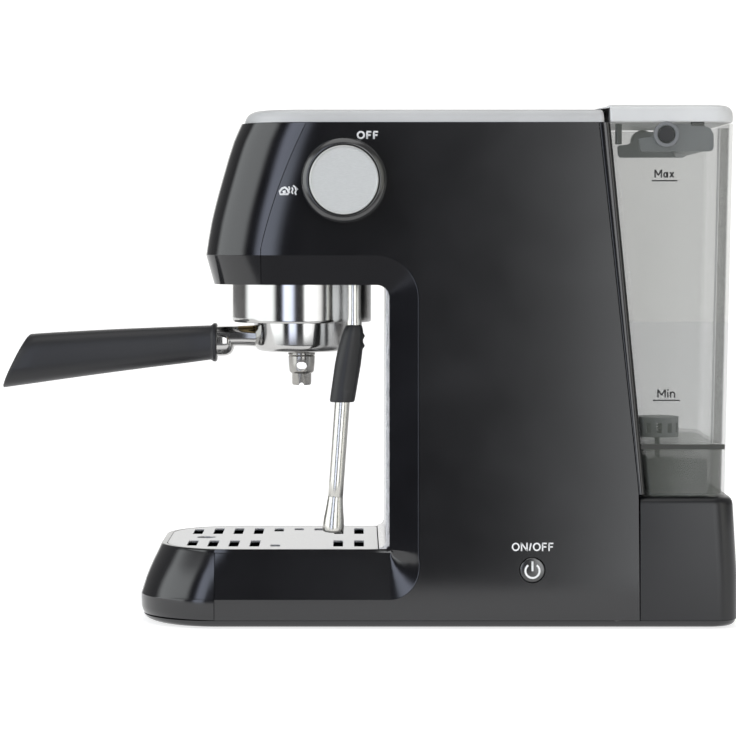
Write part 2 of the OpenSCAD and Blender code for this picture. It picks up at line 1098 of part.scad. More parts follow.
module drip_tray() {
  tub_wall = 2.2;
  last = len(TRAY_SECTIONS) - 1;
  color(black)
    difference() {
      union() {
        intersection() {
          hull() {
            for (i = [0 : last]) {
              section = TRAY_SECTIONS[i];
              plan_slice(section[0] - (i == last ? sliver : 0), section[2], section[1], -100, tray_r);
            }
          }
          box([-90, -200, 0], [90, nose_seam, 60]);
        }
        box([-tub_half, nose_seam - 1, base_low + 0.4], [tub_half, tray_rear, 43.4]);
      }
      translate([0, 0, base_low + 3])
        linear_extrude(60)
          plan_outline(tub_half - tub_wall, -157, tray_rear - tub_wall, 36);
      translate([0, 0, grate_low - 0.1])
        linear_extrude(10)
          plan_outline(grate_half + 0.2, grate_front - 0.25, tray_rear + 20, tray_r - 3);
    }
}

grate_half = 65.6;
grate_front = -159.6;
grate_rear = -33.9;
slot_pitch = 12.4;
slot_first = -144.4;
slot_x = 35;
first_slot_cut = 5;

// Plain rounded field in the middle of the grate: centre, half sizes and power of its outline
field_mid = [4, -79];
field_half = [45, 21];
field_power = 3;

// How far the plain field reaches sideways at a depth
function field_edge(side, y) =
  let (share = min(1, abs(y - field_mid[1]) / field_half[1]))
    share < 1
      ? side * field_mid[0] + field_half[0] * pow(1 - pow(share, field_power), 1 / field_power)
      : 0;

// Slot across the grate between two distances from its middle
module slot(side, inner, outer, y) {
  reach = outer - inner - slot_w;
  translate([side * (inner + outer) / 2, y]) {
    square([reach, slot_w], center = true);
    for (end = [-1, 1])
      translate([end * reach / 2, 0])
        circle(slot_w / 2, $fn = 32);
  }
}

// A row of slots, stopping at the plain field
module slot_row(side) {
  for (i = [0 : slot_count - 1]) {
    y = slot_first + i * slot_pitch;
    outer = slot_x + slot_l / 2 - (i == 0 ? first_slot_cut : 0);
    inner = max(slot_x - slot_l / 2, field_edge(side, y));
    if (outer - inner > slot_w)
      slot(side, inner, outer, y);
  }
}

module drip_grate() {
  color(steel)
    translate([0, 0, grate_low])
      difference() {
        linear_extrude(grate_z - grate_low)
          plan_outline(grate_half, grate_front, grate_rear, tray_r - 3.2);
        translate([0, 0, -1])
          linear_extrude(10) {
            for (side = [-1, 1])
              slot_row(side);
            float_outline(0.8);
          }
      }
}

module float_outline(gap) {
  translate([0, float_y]) {
    square([10, 5.6 + 2 * gap], center = true);
    for (side = [-1, 1])
      translate([side * 5, 0])
        circle(2.8 + gap, $fn = 32);
  }
}

module tray_float() {
  color(black) {
    translate([0, 0, 26])
      linear_extrude(18.2)
        float_outline(0);
    rod_z(0, float_y, 18, 8.2, 11);
  }
}

// ---------- water tank ----------

tank_low = 76.8;
floor_low = 104.8;
floor_high = 107;
tank_half = 71.5;
tank_r = 13;
// Fore and aft faces of the tank at its foot and at its rim: [height, front, rear]
TANK_ENDS = [[tank_low, 122.2, 169.4], [tank_top, 102.2, 174.4]];

function tank_face(z, i) =
  TANK_ENDS[0][i] + (z - tank_low) / (tank_top - tank_low) * (TANK_ENDS[1][i] - TANK_ENDS[0][i]);

module tank_slice(z, inset) {
  front = tank_face(z, 1) + inset;
  rear = tank_face(z, 2) - inset;
  half = tank_half - inset;
  r = tank_r - inset;
  translate([0, 0, z])
    linear_extrude(sliver) {
      for (side = [-1, 1]) {
        translate([side * (half - r), rear - r])
          circle(r, $fn = 48);
        translate([side * (half - 4), front + 4])
          circle(4, $fn = 32);
      }
    }
}

boss_y = 134;
boss_z = 287.8;
boss_r = 4.7;
hinge_y = 172.2;
hinge_z = 297.2;
hinge_x = 30;
lug_r = 2.4;
pin_r = 1.2;

module water_tank() {
  color(smoke, 0.5)
    difference() {
      union() {
        difference() {
          hull() {
            tank_slice(tank_low, 0);
            tank_slice(tank_top - sliver, 0);
          }
          hull() {
            tank_slice(floor_high, tank_wall);
            tank_slice(tank_top + 1, tank_wall);
          }
          hull() {
            tank_slice(tank_low - 1, tank_wall);
            tank_slice(floor_low, tank_wall);
          }
        }
        rod_z(0, valve_y, 93.4, floor_low - 93.4 + 0.5, 7);
        for (side = [-1, 1]) {
          rod_x(side * 68 - 2.2, 4.4, boss_y, boss_z, 7.3);
          rod_x(side * hinge_x - 4, 8, hinge_y, hinge_z, lug_r);
          box([side * hinge_x - 4, hinge_y - 0.1, tank_top - 4], [side * hinge_x + 4, hinge_y + 2.1, hinge_z]);
        }
      }
      rod_z(0, valve_y, 90, 30, 5);
      rod_x(-70, 140, boss_y, boss_z, boss_r);
      for (side = [-1, 1])
        rod_x(side * hinge_x - 5, 10, hinge_y, hinge_z, pin_r + 0.05);
    }
}

module tank_filter() {
  color("#d9dad6")
    difference() {
      rod_z(0, valve_y, floor_high, 12, 13);
      rod_z(0, valve_y, floor_high - 1, 11.6, 11.6);
      for (a = [0 : 30 : 150])
        translate([0, valve_y, floor_high + 2.5])
          rotate([0, 0, a])
            box([-20, -1.6, 0], [20, 1.6, 6]);
    }
}

module tank_valve() {
  color("#1c1c1e") {
    rod_z(0, valve_y, floor_high, 1.6, 6.6);
    rod_z(0, valve_y, 96, 12, 1.6);
  }
}

module valve_spring() {
  color(steel)
    translate([0, valve_y, floor_high + 1.7])
      coil_spring(3.6, 0.4, 8.8, 5);
}

module dock_seal() {
  color("#4a4744") {
    tube_z(0, valve_y, 87, 10.6, 9.9, 7.3);
    difference() {
      tube_z(0, valve_y, 67.4, 19.6, 9.9, 3);
      rod_z(0, valve_y, 80, 20, 5);
    }
    box([-9, valve_y - 0.9, 78], [9, valve_y + 0.9, 80]);
    rod_z(0, valve_y, 78, 17.6, 1.5);
  }
}

lid_low = 295.2;
lid_high = 305.2;
lid_front = 101;
lid_rear = 174.2;

module tank_lid() {
  r = 5;
  color(silver)
    difference() {
      intersection() {
        across(2 * tank_half)
          polygon(concat(
            [[lid_front, lid_low], [lid_rear - 1.2, lid_low], [lid_rear, lid_low + 1.2]],
            [for (a = [0 : 15 : 90]) [lid_rear - r + r * cos(a), lid_high - r + r * sin(a)]],
            [[93, lid_high], [93, lid_high - 1], [lid_front, top_high + 0.4]]
          ));
        translate([0, 0, lid_low - 1])
          linear_extrude(20)
            round_rect([-tank_half, 80], [tank_half, lid_rear], 12);
      }
      box([-tank_half + 3, lid_front + 3, lid_low - 1], [tank_half - 3, 164, lid_high - 2.4]);
      for (side = [-1, 1])
        box([side * hinge_x - 4.4, hinge_y - 4, lid_low - 1], [side * hinge_x + 4.4, 180, hinge_z + 4]);
      for (side = [-1, 1])
        rod_x(side * hinge_x - 9, 18, hinge_y, hinge_z, pin_r);
    }
  color(steel)
    for (side = [-1, 1])
      rod_x(side * hinge_x - 9, 18, hinge_y, hinge_z, pin_r);
}

module tank_handle() {
  far_y = 157;
  far_z = 281.5;
  arm_x = 61.2;
  color("#8d908c") {
    for (side = [-1, 1]) {
      hull() {
        rod_x(side * (arm_x + 2) - 2, 4, boss_y, boss_z, 6);
        rod_x(side * (arm_x + 2) - 2, 4, far_y, far_z, 3.6);
      }
      rod_x(side * 67 - 2.5, 5, boss_y, boss_z, boss_r - 0.05);
    }
    rod_x(-arm_x - 1, 2 * arm_x + 2, far_y, far_z, 3.6);
  }
}

// ---------- all nodes ----------

base_plate();
rubber_feet();
side_panel_right();
side_panel_left();
front_cover();
head_underside();
top_plate();
backsplash();
rear_spine();
tank_dock();
inner_frame();
base_screws();
group_ring();
group_head();
group_gasket();
shower_screen();
shower_screw();
thermoblock_body();
thermoblock_cover();
thermoblock_screws();
thermostats();
pump_body();
pump_coil();
pump_mounts();
suction_hose();
pressure_hose();
relief_valve();
steam_valve_body();
steam_tube();
wand_socket();
knob_bezel();
control_board();
power_switch();
cord_gland();
dock_seal();
portafilter_holder();
filter_basket();
portafilter_spout();
portafilter_handle();
steam_pipe();
wand_grip();
froth_sleeve();
knob_grip();
knob_face();
valve_spindle();
power_button();
brew_one_button();
brew_two_button();
steam_button();
drip_tray();
drip_grate();
tray_float();
water_tank();
tank_filter();
tank_valve();
valve_spring();
tank_lid();
tank_handle();
pump_piston();
pump_spring();
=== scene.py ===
"""Looks of the slim espresso machine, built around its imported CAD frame.

Lengths inside the helpers are millimetres in the shared frame (+Z up, -Y front, +X the user's right);
mesh_piece turns them into metres.
"""
import json
import math
import bmesh
import bpy
from mathutils import Matrix, Vector


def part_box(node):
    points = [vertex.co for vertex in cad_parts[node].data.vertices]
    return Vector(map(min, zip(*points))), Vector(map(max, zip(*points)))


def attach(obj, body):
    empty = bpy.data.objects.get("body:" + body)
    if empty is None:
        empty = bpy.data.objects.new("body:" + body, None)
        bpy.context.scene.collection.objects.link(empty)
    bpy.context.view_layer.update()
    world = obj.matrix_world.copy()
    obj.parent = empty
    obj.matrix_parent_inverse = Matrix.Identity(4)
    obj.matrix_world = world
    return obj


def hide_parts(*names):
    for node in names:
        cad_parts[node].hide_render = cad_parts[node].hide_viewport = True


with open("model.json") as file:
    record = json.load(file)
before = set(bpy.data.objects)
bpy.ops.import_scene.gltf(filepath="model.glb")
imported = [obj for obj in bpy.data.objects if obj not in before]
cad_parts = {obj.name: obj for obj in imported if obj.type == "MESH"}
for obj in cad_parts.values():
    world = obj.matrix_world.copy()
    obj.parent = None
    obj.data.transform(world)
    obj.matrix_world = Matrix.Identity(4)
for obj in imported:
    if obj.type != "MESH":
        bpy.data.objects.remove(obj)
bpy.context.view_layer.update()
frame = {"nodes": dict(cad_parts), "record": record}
MM = 0.001

# ---------- places read from the frame ----------


def box_mm(node):
    """Corners of a node's box in millimetres."""
    low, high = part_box(node)
    return low / MM, high / MM


PANEL_LOW, PANEL_HIGH = box_mm("side_panel_right")
COVER_LOW, COVER_HIGH = box_mm("front_cover")
TRAY_LOW, TRAY_HIGH = box_mm("drip_tray")
GRATE_LOW, GRATE_HIGH = box_mm("drip_grate")
PLATE_LOW, PLATE_HIGH = box_mm("base_plate")
TOP_LOW, TOP_HIGH = box_mm("top_plate")
SPLASH_LOW, SPLASH_HIGH = box_mm("backsplash")
RING_LOW, RING_HIGH = box_mm("group_ring")
_, BOWL_HIGH = box_mm("portafilter_holder")
SPOUT_LOW, _ = box_mm("portafilter_spout")
PIPE_LOW, PIPE_HIGH = box_mm("steam_pipe")
SLEEVE_LOW, SLEEVE_HIGH = box_mm("froth_sleeve")
KNOB_LOW, KNOB_HIGH = box_mm("knob_grip")
FACE_LOW, FACE_HIGH = box_mm("knob_face")
BEZEL_LOW, BEZEL_HIGH = box_mm("knob_bezel")
POWER_LOW, POWER_HIGH = box_mm("power_button")
_, TANK_HIGH = box_mm("water_tank")
LID_LOW, LID_HIGH = box_mm("tank_lid")
DOCK_LOW, DOCK_HIGH = box_mm("tank_dock")
SPINE_LOW, _ = box_mm("rear_spine")
_, BAIL_HIGH = box_mm("tank_handle")

HALF_W = PANEL_HIGH.x
HEAD_Z = COVER_LOW.z
CASING_TOP = COVER_HIGH.z
GRATE_Z = GRATE_HIGH.z
# Height of the crease along the casing, lean of the sides above it, shells' wall and gap at a seam
CREASE_Z = 217.4
LEAN_IN = 2.0
WALL = 2.2
SEAM_GAP = 0.35

# ---------- mesh helpers ----------


def mesh_piece(name, bm, body, material, stands_for=(), bevel=0.0, angle=30.0):
    """Turns a bmesh in millimetres into a finished piece that rides on a body."""
    bmesh.ops.remove_doubles(bm, verts=bm.verts, dist=1e-4)
    bmesh.ops.recalc_face_normals(bm, faces=bm.faces)
    bmesh.ops.scale(bm, vec=(MM, MM, MM), verts=bm.verts)
    mesh = bpy.data.meshes.new(name)
    bm.to_mesh(mesh)
    bm.free()
    piece = bpy.data.objects.new(name, mesh)
    bpy.context.scene.collection.objects.link(piece)
    mesh.materials.append(material)
    if bevel:
        rounding = piece.modifiers.new("edges", "BEVEL")
        rounding.width = bevel * MM
        rounding.segments = 3
        rounding.limit_method = "ANGLE"
        rounding.angle_limit = math.radians(angle)
        rounding.harden_normals = True
    smooth(piece, angle)
    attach(piece, body)
    if stands_for:
        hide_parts(*stands_for)
    return piece


def smooth(piece, angle=30.0):
    """Smooth shading, sharp only where faces meet at more than an angle."""
    mesh = piece.data
    mesh.shade_smooth()
    mesh.set_sharp_from_angle(angle=math.radians(angle))


def even_shading(piece):
    """Keeps the shade of a large flat face even next to its small rounded edges."""
    even = piece.modifiers.new("even", "WEIGHTED_NORMAL")
    even.keep_sharp = True
    even.weight = 90


def grid_faces(bm, rows, close=False):
    """Quads between rows of points, each row as long as the others."""
    lines = [[bm.verts.new(p) for p in row] for row in rows]
    for low, high in zip(lines, lines[1:]):
        count = len(low)
        for i in range(count if close else count - 1):
            j = (i + 1) % count
            bm.faces.new((low[i], low[j], high[j], high[i]))
    return lines


def loft(rings, cap_low=True, cap_high=True):
    """Closed rings joined by quads, with one face over either end."""
    bm = bmesh.new()
    lines = grid_faces(bm, rings, close=True)
    if cap_low:
        bm.faces.new(list(reversed(lines[0])))
    if cap_high:
        bm.faces.new(lines[-1])
    return bm


def lathe(profile, centre, axis="Z", steps=96):
    """Profile of (radius, place along the axis) turned about an axis through centre."""
    bm = bmesh.new()
    rings = []
    for radius, along in profile:
        ring = []
        for i in range(steps):
            turn = 2 * math.pi * i / steps
            a, b = radius * math.cos(turn), radius * math.sin(turn)
            spots = {"Z": (a, b, along), "X": (along, a, b)}
            ring.append(Vector(spots[axis]) + Vector(centre))
        rings.append(ring)
    lines = grid_faces(bm, rings, close=True)
    for line, radius in ((lines[0], profile[0][0]), (lines[-1], profile[-1][0])):
        if radius > 0.01:
            bm.faces.new(line)
    return bm


def arc_points(centre, radius, start, end, steps):
    """Points of an arc in a plane, from a start to an end angle in degrees."""
    return [
        (centre[0] + radius * math.cos(math.radians(start + (end - start) * i / steps)),
         centre[1] + radius * math.sin(math.radians(start + (end - start) * i / steps)))
        for i in range(steps + 1)
    ]


def blend_values(pairs, at):
    """Value at a place, on straight lines between stations given as (place, value)."""
    if at <= pairs[0][0]:
        return pairs[0][1]
    for (a, va), (b, vb) in zip(pairs, pairs[1:]):
        if at <= b:
            return va + (vb - va) * (at - a) / (b - a)
    return pairs[-1][1]


def spread(start, end, steps):
    """Evenly spaced values from start to end."""
    return [start + (end - start) * i / steps for i in range(steps + 1)]


def tube(points, radii, steps):
    """Round tube through points, with a radius for each of them."""
    bm = bmesh.new()
    rings = []
    count = len(points)
    for i, point in enumerate(points):
        ahead = (Vector(points[min(i + 1, count - 1)]) - Vector(points[max(i - 1, 0)])).normalized()
        side = (Vector((1, 0, 0)) - ahead * ahead.x).normalized()
        up = ahead.cross(side)
        turns = [2 * math.pi * j / steps for j in range(steps)]
        rings.append([Vector(point) + radii[i] * (math.cos(a) * side + math.sin(a) * up) for a in turns])
    lines = grid_faces(bm, rings, close=True)
    bm.faces.new(lines[0])
    bm.faces.new(lines[-1])
    return bm


def across(line, places):
    """Side outline of (depth, height) points carried across the machine."""
    return loft([[(x, y, z) for y, z in line] for x in places])


def aim(bm, way, place):
    """Turns a mesh that stands along Z to another direction and moves it to its place."""
    turn = Vector((0, 0, 1)).rotation_difference(Vector(way)).to_matrix().to_4x4()
    bmesh.ops.transform(bm, matrix=Matrix.Translation(Vector(place)) @ turn, verts=bm.verts)


def add_mesh(target, source):
    """Adds one bmesh to another and frees the source."""
    copy = bpy.data.meshes.new("part")
    source.to_mesh(copy)
    source.free()
    target.from_mesh(copy)
    bpy.data.meshes.remove(copy)


# ---------- materials ----------


def node_material(name):
    """New material with its node tree and its main shader."""
    material = bpy.data.materials.new(name)
    material.use_nodes = True
    tree = material.node_tree
    shader = tree.nodes["Principled BSDF"]
    return material, tree, shader


def textured(tree, kind, scale, stretch=(1, 1, 1), detail=3.0):
    """Noise or Voronoi texture over object coordinates, stretched along the axes."""
    place = tree.nodes.new("ShaderNodeTexCoord")
    mapping = tree.nodes.new("ShaderNodeMapping")
    mapping.inputs["Scale"].default_value = stretch
    tree.links.new(place.outputs["Object"], mapping.inputs["Vector"])
    texture = tree.nodes.new(kind)
    texture.inputs["Scale"].default_value = scale
    if "Detail" in texture.inputs:
        texture.inputs["Detail"].default_value = detail
    tree.links.new(mapping.outputs["Vector"], texture.inputs["Vector"])
    return texture


def ranged(tree, source, low, high):
    """Maps a 0 to 1 texture to a range."""
    span = tree.nodes.new("ShaderNodeMapRange")
    span.inputs["To Min"].default_value = low
    span.inputs["To Max"].default_value = high
    tree.links.new(source, span.inputs["Value"])
    return span.outputs["Result"]


def add_bump(tree, shader, source, strength, depth_mm):
    """Fine relief taken from a texture."""
    bump = tree.nodes.new("ShaderNodeBump")
    bump.inputs["Strength"].default_value = strength
    bump.inputs["Distance"].default_value = depth_mm * MM
    tree.links.new(source, bump.inputs["Height"])
    tree.links.new(bump.outputs["Normal"], shader.inputs["Normal"])


def two_tone(tree, shader, source, low, high):
    """Base colour that drifts between two close colours."""
    ramp = tree.nodes.new("ShaderNodeValToRGB")
    ramp.color_ramp.elements[0].color = (*low, 1)
    ramp.color_ramp.elements[1].color = (*high, 1)
    ramp.color_ramp.elements[0].position = 0.3
    ramp.color_ramp.elements[1].position = 0.7
    tree.links.new(source, ramp.inputs["Fac"])
    tree.links.new(ramp.outputs["Color"], shader.inputs["Base Color"])


def plastic(name, dark, light, rough, grain=0.04, grain_scale=2200.0, ior=1.5):
    """Moulded plastic with a fine spark-eroded grain and slow drift in gloss."""
    material, tree, shader = node_material(name)
    drift = textured(tree, "ShaderNodeTexNoise", 18.0, detail=4.0)
    two_tone(tree, shader, drift.outputs["Fac"], dark, light)
    tree.links.new(ranged(tree, drift.outputs["Fac"], rough - 0.04, rough + 0.05),
                   shader.inputs["Roughness"])
    fine = textured(tree, "ShaderNodeTexVoronoi", grain_scale)
    add_bump(tree, shader, fine.outputs["Distance"], 0.12, grain)
    shader.inputs["IOR"].default_value = ior
    return material


def brushed(name, dark, light, rough, stretch, scale=900.0, metallic=1.0):
    """Metal brushed along the axis with the smallest stretch."""
    material, tree, shader = node_material(name)
    shader.inputs["Metallic"].default_value = metallic
    streak = textured(tree, "ShaderNodeTexNoise", scale, stretch, 6.0)
    two_tone(tree, shader, streak.outputs["Fac"], dark, light)
    tree.links.new(ranged(tree, streak.outputs["Fac"], rough - 0.07, rough + 0.1),
                   shader.inputs["Roughness"])
    add_bump(tree, shader, streak.outputs["Fac"], 0.25, 0.02)
    return material


def polished(name, dark, light, rough):
    """Plated or polished metal with faint smudges."""
    material, tree, shader = node_material(name)
    shader.inputs["Metallic"].default_value = 1.0
    smudge = textured(tree, "ShaderNodeTexNoise", 60.0, detail=5.0)
    two_tone(tree, shader, smudge.outputs["Fac"], dark, light)
    tree.links.new(ranged(tree, smudge.outputs["Fac"], rough, rough + 0.06), shader.inputs["Roughness"])
    add_bump(tree, shader, smudge.outputs["Fac"], 0.03, 0.05)
    return material


def clear_plastic(name, dark, light, alpha, rough):
    """Smoky see-through moulding; also used for see-through strips of painted shade and painted highlight
    on the tank.
    """
    material, tree, shader = node_material(name)
    haze = textured(tree, "ShaderNodeTexNoise", 14.0, detail=3.0)
    two_tone(tree, shader, haze.outputs["Fac"], dark, light)
    tree.links.new(ranged(tree, haze.outputs["Fac"], rough, rough + 0.08), shader.inputs["Roughness"])
    shader.inputs["Alpha"].default_value = alpha
    shader.inputs["IOR"].default_value = 1.5
    material.surface_render_method = "BLENDED"
    return material


MAT = {
    "black": plastic("black_satin", (0.0045, 0.0045, 0.0055), (0.0065, 0.0065, 0.0080), 0.125, 0.008,
                     ior=1.65),
    "dock": plastic("black_dock", (0.0060, 0.0060, 0.0070), (0.0085, 0.0085, 0.0098), 0.32, 0.02),
    "handle": plastic("handle_satin", (0.0080, 0.0080, 0.0095), (0.0120, 0.0120, 0.0140), 0.44, 0.04,
                      1500.0),
    "knob": plastic("knob_gloss", (0.0060, 0.0060, 0.0066), (0.0090, 0.0090, 0.0096), 0.20, 0.01, ior=1.85),
    "silver": plastic("silver_satin", (0.50, 0.50, 0.495), (0.57, 0.57, 0.565), 0.36, 0.03, 2600.0),
    "lid": plastic("lid_satin", (0.66, 0.66, 0.65), (0.73, 0.73, 0.72), 0.34, 0.03, 2600.0),
    "face": brushed("knob_face", (0.52, 0.525, 0.51), (0.60, 0.605, 0.59), 0.42, (1, 1, 12), 500.0, 0.4),
    "smoke": clear_plastic("smoky_clear", (0.135, 0.145, 0.125), (0.165, 0.175, 0.155), 0.25, 0.09),
    # Painted highlight: a bright, partly see-through strip for the bright reflection line down the tank's
    # rounded rear corner.
    "ridge": clear_plastic("painted_highlight_strip", (0.75, 0.75, 0.74), (0.82, 0.82, 0.81), 0.55, 0.1),
    # Painted shade: dark see-through tint for the shade in the chamber below the tank's floor and for the
    # darker band along the tank's rounded rear corner.
    "shade_smoke": clear_plastic("painted_shade_smoke", (0.05, 0.05, 0.045), (0.065, 0.065, 0.06), 0.36, 0.2),
    # Painted shade: dark strip for the dark line of the tank's floor seen edge-on through its wall.
    "floor_edge_shade": clear_plastic("painted_shade_floor_edge", (0.02, 0.02, 0.016), (0.03, 0.03, 0.025), 0.86, 0.25),
    "rib": plastic("tank_rib", (0.03, 0.03, 0.026), (0.045, 0.045, 0.04), 0.4),
    "grey": plastic("grey_moulded", (0.20, 0.21, 0.22), (0.24, 0.25, 0.26), 0.42),
    "pin": plastic("black_pin", (0.012, 0.012, 0.012), (0.018, 0.018, 0.018), 0.5),
    "boss": plastic("boss_ring", (0.15, 0.155, 0.16), (0.19, 0.195, 0.20), 0.4),
    "white": plastic("white_moulded", (0.66, 0.65, 0.62), (0.74, 0.73, 0.70), 0.45),
    "print": plastic("white_print", (0.80, 0.80, 0.80), (0.86, 0.86, 0.86), 0.5),
    "dark_print": plastic("dark_print", (0.035, 0.035, 0.035), (0.045, 0.045, 0.045), 0.5),
    "sheet": brushed("brushed_sheet", (0.48, 0.48, 0.49), (0.62, 0.62, 0.63), 0.30, (3, 60, 60), 60.0),
    "splash": brushed("brushed_splash", (0.50, 0.50, 0.51), (0.66, 0.66, 0.67), 0.26, (60, 60, 2), 60.0),
    "steel": brushed("turned_steel", (0.50, 0.49, 0.47), (0.66, 0.65, 0.62), 0.24, (30, 30, 300), 60.0),
    "chrome": polished("bright_chrome", (0.47, 0.465, 0.455), (0.54, 0.535, 0.525), 0.09),
    "aluminium": brushed("cast_aluminium", (0.42, 0.42, 0.43), (0.52, 0.52, 0.53), 0.5, (40, 40, 40), 40.0),
    "brass": polished("turned_brass", (0.26, 0.20, 0.10), (0.34, 0.26, 0.14), 0.34),
    "wand": brushed("wand_steel", (0.50, 0.49, 0.46), (0.62, 0.61, 0.575), 0.2, (60, 60, 4), 60.0),
    "rubber": plastic("black_rubber", (0.0070, 0.0070, 0.0078), (0.0110, 0.0110, 0.0118), 0.42, 0.04,
                      1200.0),
    "silicone": clear_plastic("silicone", (0.60, 0.59, 0.56), (0.68, 0.67, 0.64), 0.85, 0.4),
    "dark_steel": brushed("spout_steel", (0.30, 0.29, 0.27), (0.42, 0.41, 0.39), 0.22, (30, 30, 120), 60.0),
    "circuit": plastic("circuit_laminate", (0.02, 0.13, 0.06), (0.04, 0.19, 0.09), 0.35),
}

MATERIAL_OF_SLOT = {
    "black_plastic": "black", "silver_plastic": "silver", "tank_plastic": "smoke",
    "handle_plastic": "handle",
    "grey_plastic": "grey", "white_plastic": "white", "brushed_sheet": "sheet",
    "plain_steel": "steel", "bright_chrome": "chrome", "cast_aluminium": "aluminium",
    "turned_brass": "brass",
    "rubber_black": "rubber", "silicone": "silicone", "circuit": "circuit",
}


def dress_cad_nodes():
    """Every CAD node gets the finish of its slot; most outer ones are replaced further on."""
    for part in frame["record"]["subparts"]:
        obj = frame["nodes"][part["node"]]
        obj.data.materials.clear()
        obj.data.materials.append(MAT[MATERIAL_OF_SLOT[part["material_slot"]]])
        smooth(obj)


# ---------- surface of the casing ----------

# Depth of the nose at stations of height
NOSE = [(HEAD_Z, -131.6), (CREASE_Z, COVER_LOW.y), (226, -135.0), (238, -132.9), (250, -130.0),
        (262, -126.7), (274, -123.3), (286, -119.5), (CASING_TOP, -115.4)]
# Half width at the head's lower edge; size and squareness of the nose's round plan
HEAD_LOW_HALF = HALF_W - 5.0
NOSE_WIDE = 42.0
NOSE_DEEP = 58.0
NOSE_POWER = 2.6

# Opening between head and base: its corner, the column's front, widths and depths of its bevel
OPENING_R = 8.0
COLUMN_FRONT = -27.2
COLUMN_BAND = (16.5, 5.5)
BASE_BAND = (GRATE_Z - 17.0, 8.1)
HEAD_BAND = (CREASE_Z - HEAD_Z, HALF_W - HEAD_LOW_HALF)
# Seam of the front cover, as (height, depth): straight up to a bend, then curved backwards
SEAM_FRONT = -102.3
SEAM_BEND = 221.5
SEAM_RISE = CASING_TOP - SEAM_BEND
SEAM_LEAN = 0.226
SEAM_CURVE = 0.00185
SEAM_STEPS = 12
COVER_SEAM = [(HEAD_Z, SEAM_FRONT), (SEAM_BEND, SEAM_FRONT)]
COVER_SEAM += [(SEAM_BEND + rise, SEAM_FRONT + SEAM_LEAN * rise + SEAM_CURVE * rise ** 2)
               for rise in spread(0, SEAM_RISE, SEAM_STEPS)[1:]]
# Seam behind the side panels, as (height, depth), and depth of the tray's seam
REAR_SEAM = [(PANEL_LOW.z, 118.0), (80.0, 117.3), (CASING_TOP, 94.3)]
NOSE_SEAM = -129.4

# Height, front depth and half width of the tray's nose
TRAY_SKIN = [(TRAY_LOW.z, -173.2, HALF_W - 0.9), (7.0, -174.2, HALF_W - 0.3), (9.5, -174.8, HALF_W),
             (14.0, TRAY_LOW.y, HALF_W), (16.4, TRAY_LOW.y, HALF_W), (17.0, -174.9, HALF_W - 0.15),
             (17.6, -174.6, HALF_W - 0.45), (21.0, -173.6, HALF_W - 1.35), (26.0, -172.0, HALF_W - 2.6),
             (31.0, -170.0, HALF_W - 3.85), (36.0, -167.8, HALF_W - 5.3), (41.0, -165.3, HALF_W - 6.7),
             (43.6, -164.1, HALF_W - 7.5), (44.9, -163.5, HALF_W - 7.9), (45.35, -163.1, HALF_W - 8.15)]
TRAY_FRONT = [(z, front) for z, front, _ in TRAY_SKIN]
TRAY_R = 43.0


def lean(z):
    """How far the side leans in above the crease."""
    return LEAN_IN * max(0.0, (z - CREASE_Z) / (CASING_TOP - CREASE_Z))


def nose_inset(y, z):
    """How far the side is drawn in near the nose of the head or of the tray, in plan."""
    if z <= GRATE_Z:
        reach = max(0.0, blend_values(TRAY_FRONT, z) + TRAY_R - y)
        return TRAY_R - math.sqrt(TRAY_R ** 2 - reach ** 2)
    if z < HEAD_Z - OPENING_R:
        return 0.0
    reach = (blend_values(NOSE, z) + NOSE_DEEP - y) / NOSE_DEEP
    if reach <= 0:
        return 0.0
    return NOSE_WIDE * (1 - (1 - min(reach, 1.0) ** NOSE_POWER) ** (1 / NOSE_POWER))


def band_of(angle):
    """Width and depth of the opening's bevel: 90 degrees is the head, 0 the column, -90 the base."""
    share = abs(angle) / 90
    far = HEAD_BAND if angle >= 0 else BASE_BAND
    ease = share * share * (3 - 2 * share)
    return tuple(a + (b - a) * ease for a, b in zip(COLUMN_BAND, far))


# Rays along the head, round the opening's upper corner, down the column, round its lower corner and
# along the base; the first rays of the corners end on the top edge and on the rear seam
HEAD_RAYS = 16
CORNER_RAYS = 16
CORNER_RAYS_ON_TOP = 9
COLUMN_RAYS = 22
BASE_RAYS = 24
BASE_RAYS_ON_SEAM = 7
TRAY_RAYS = 20


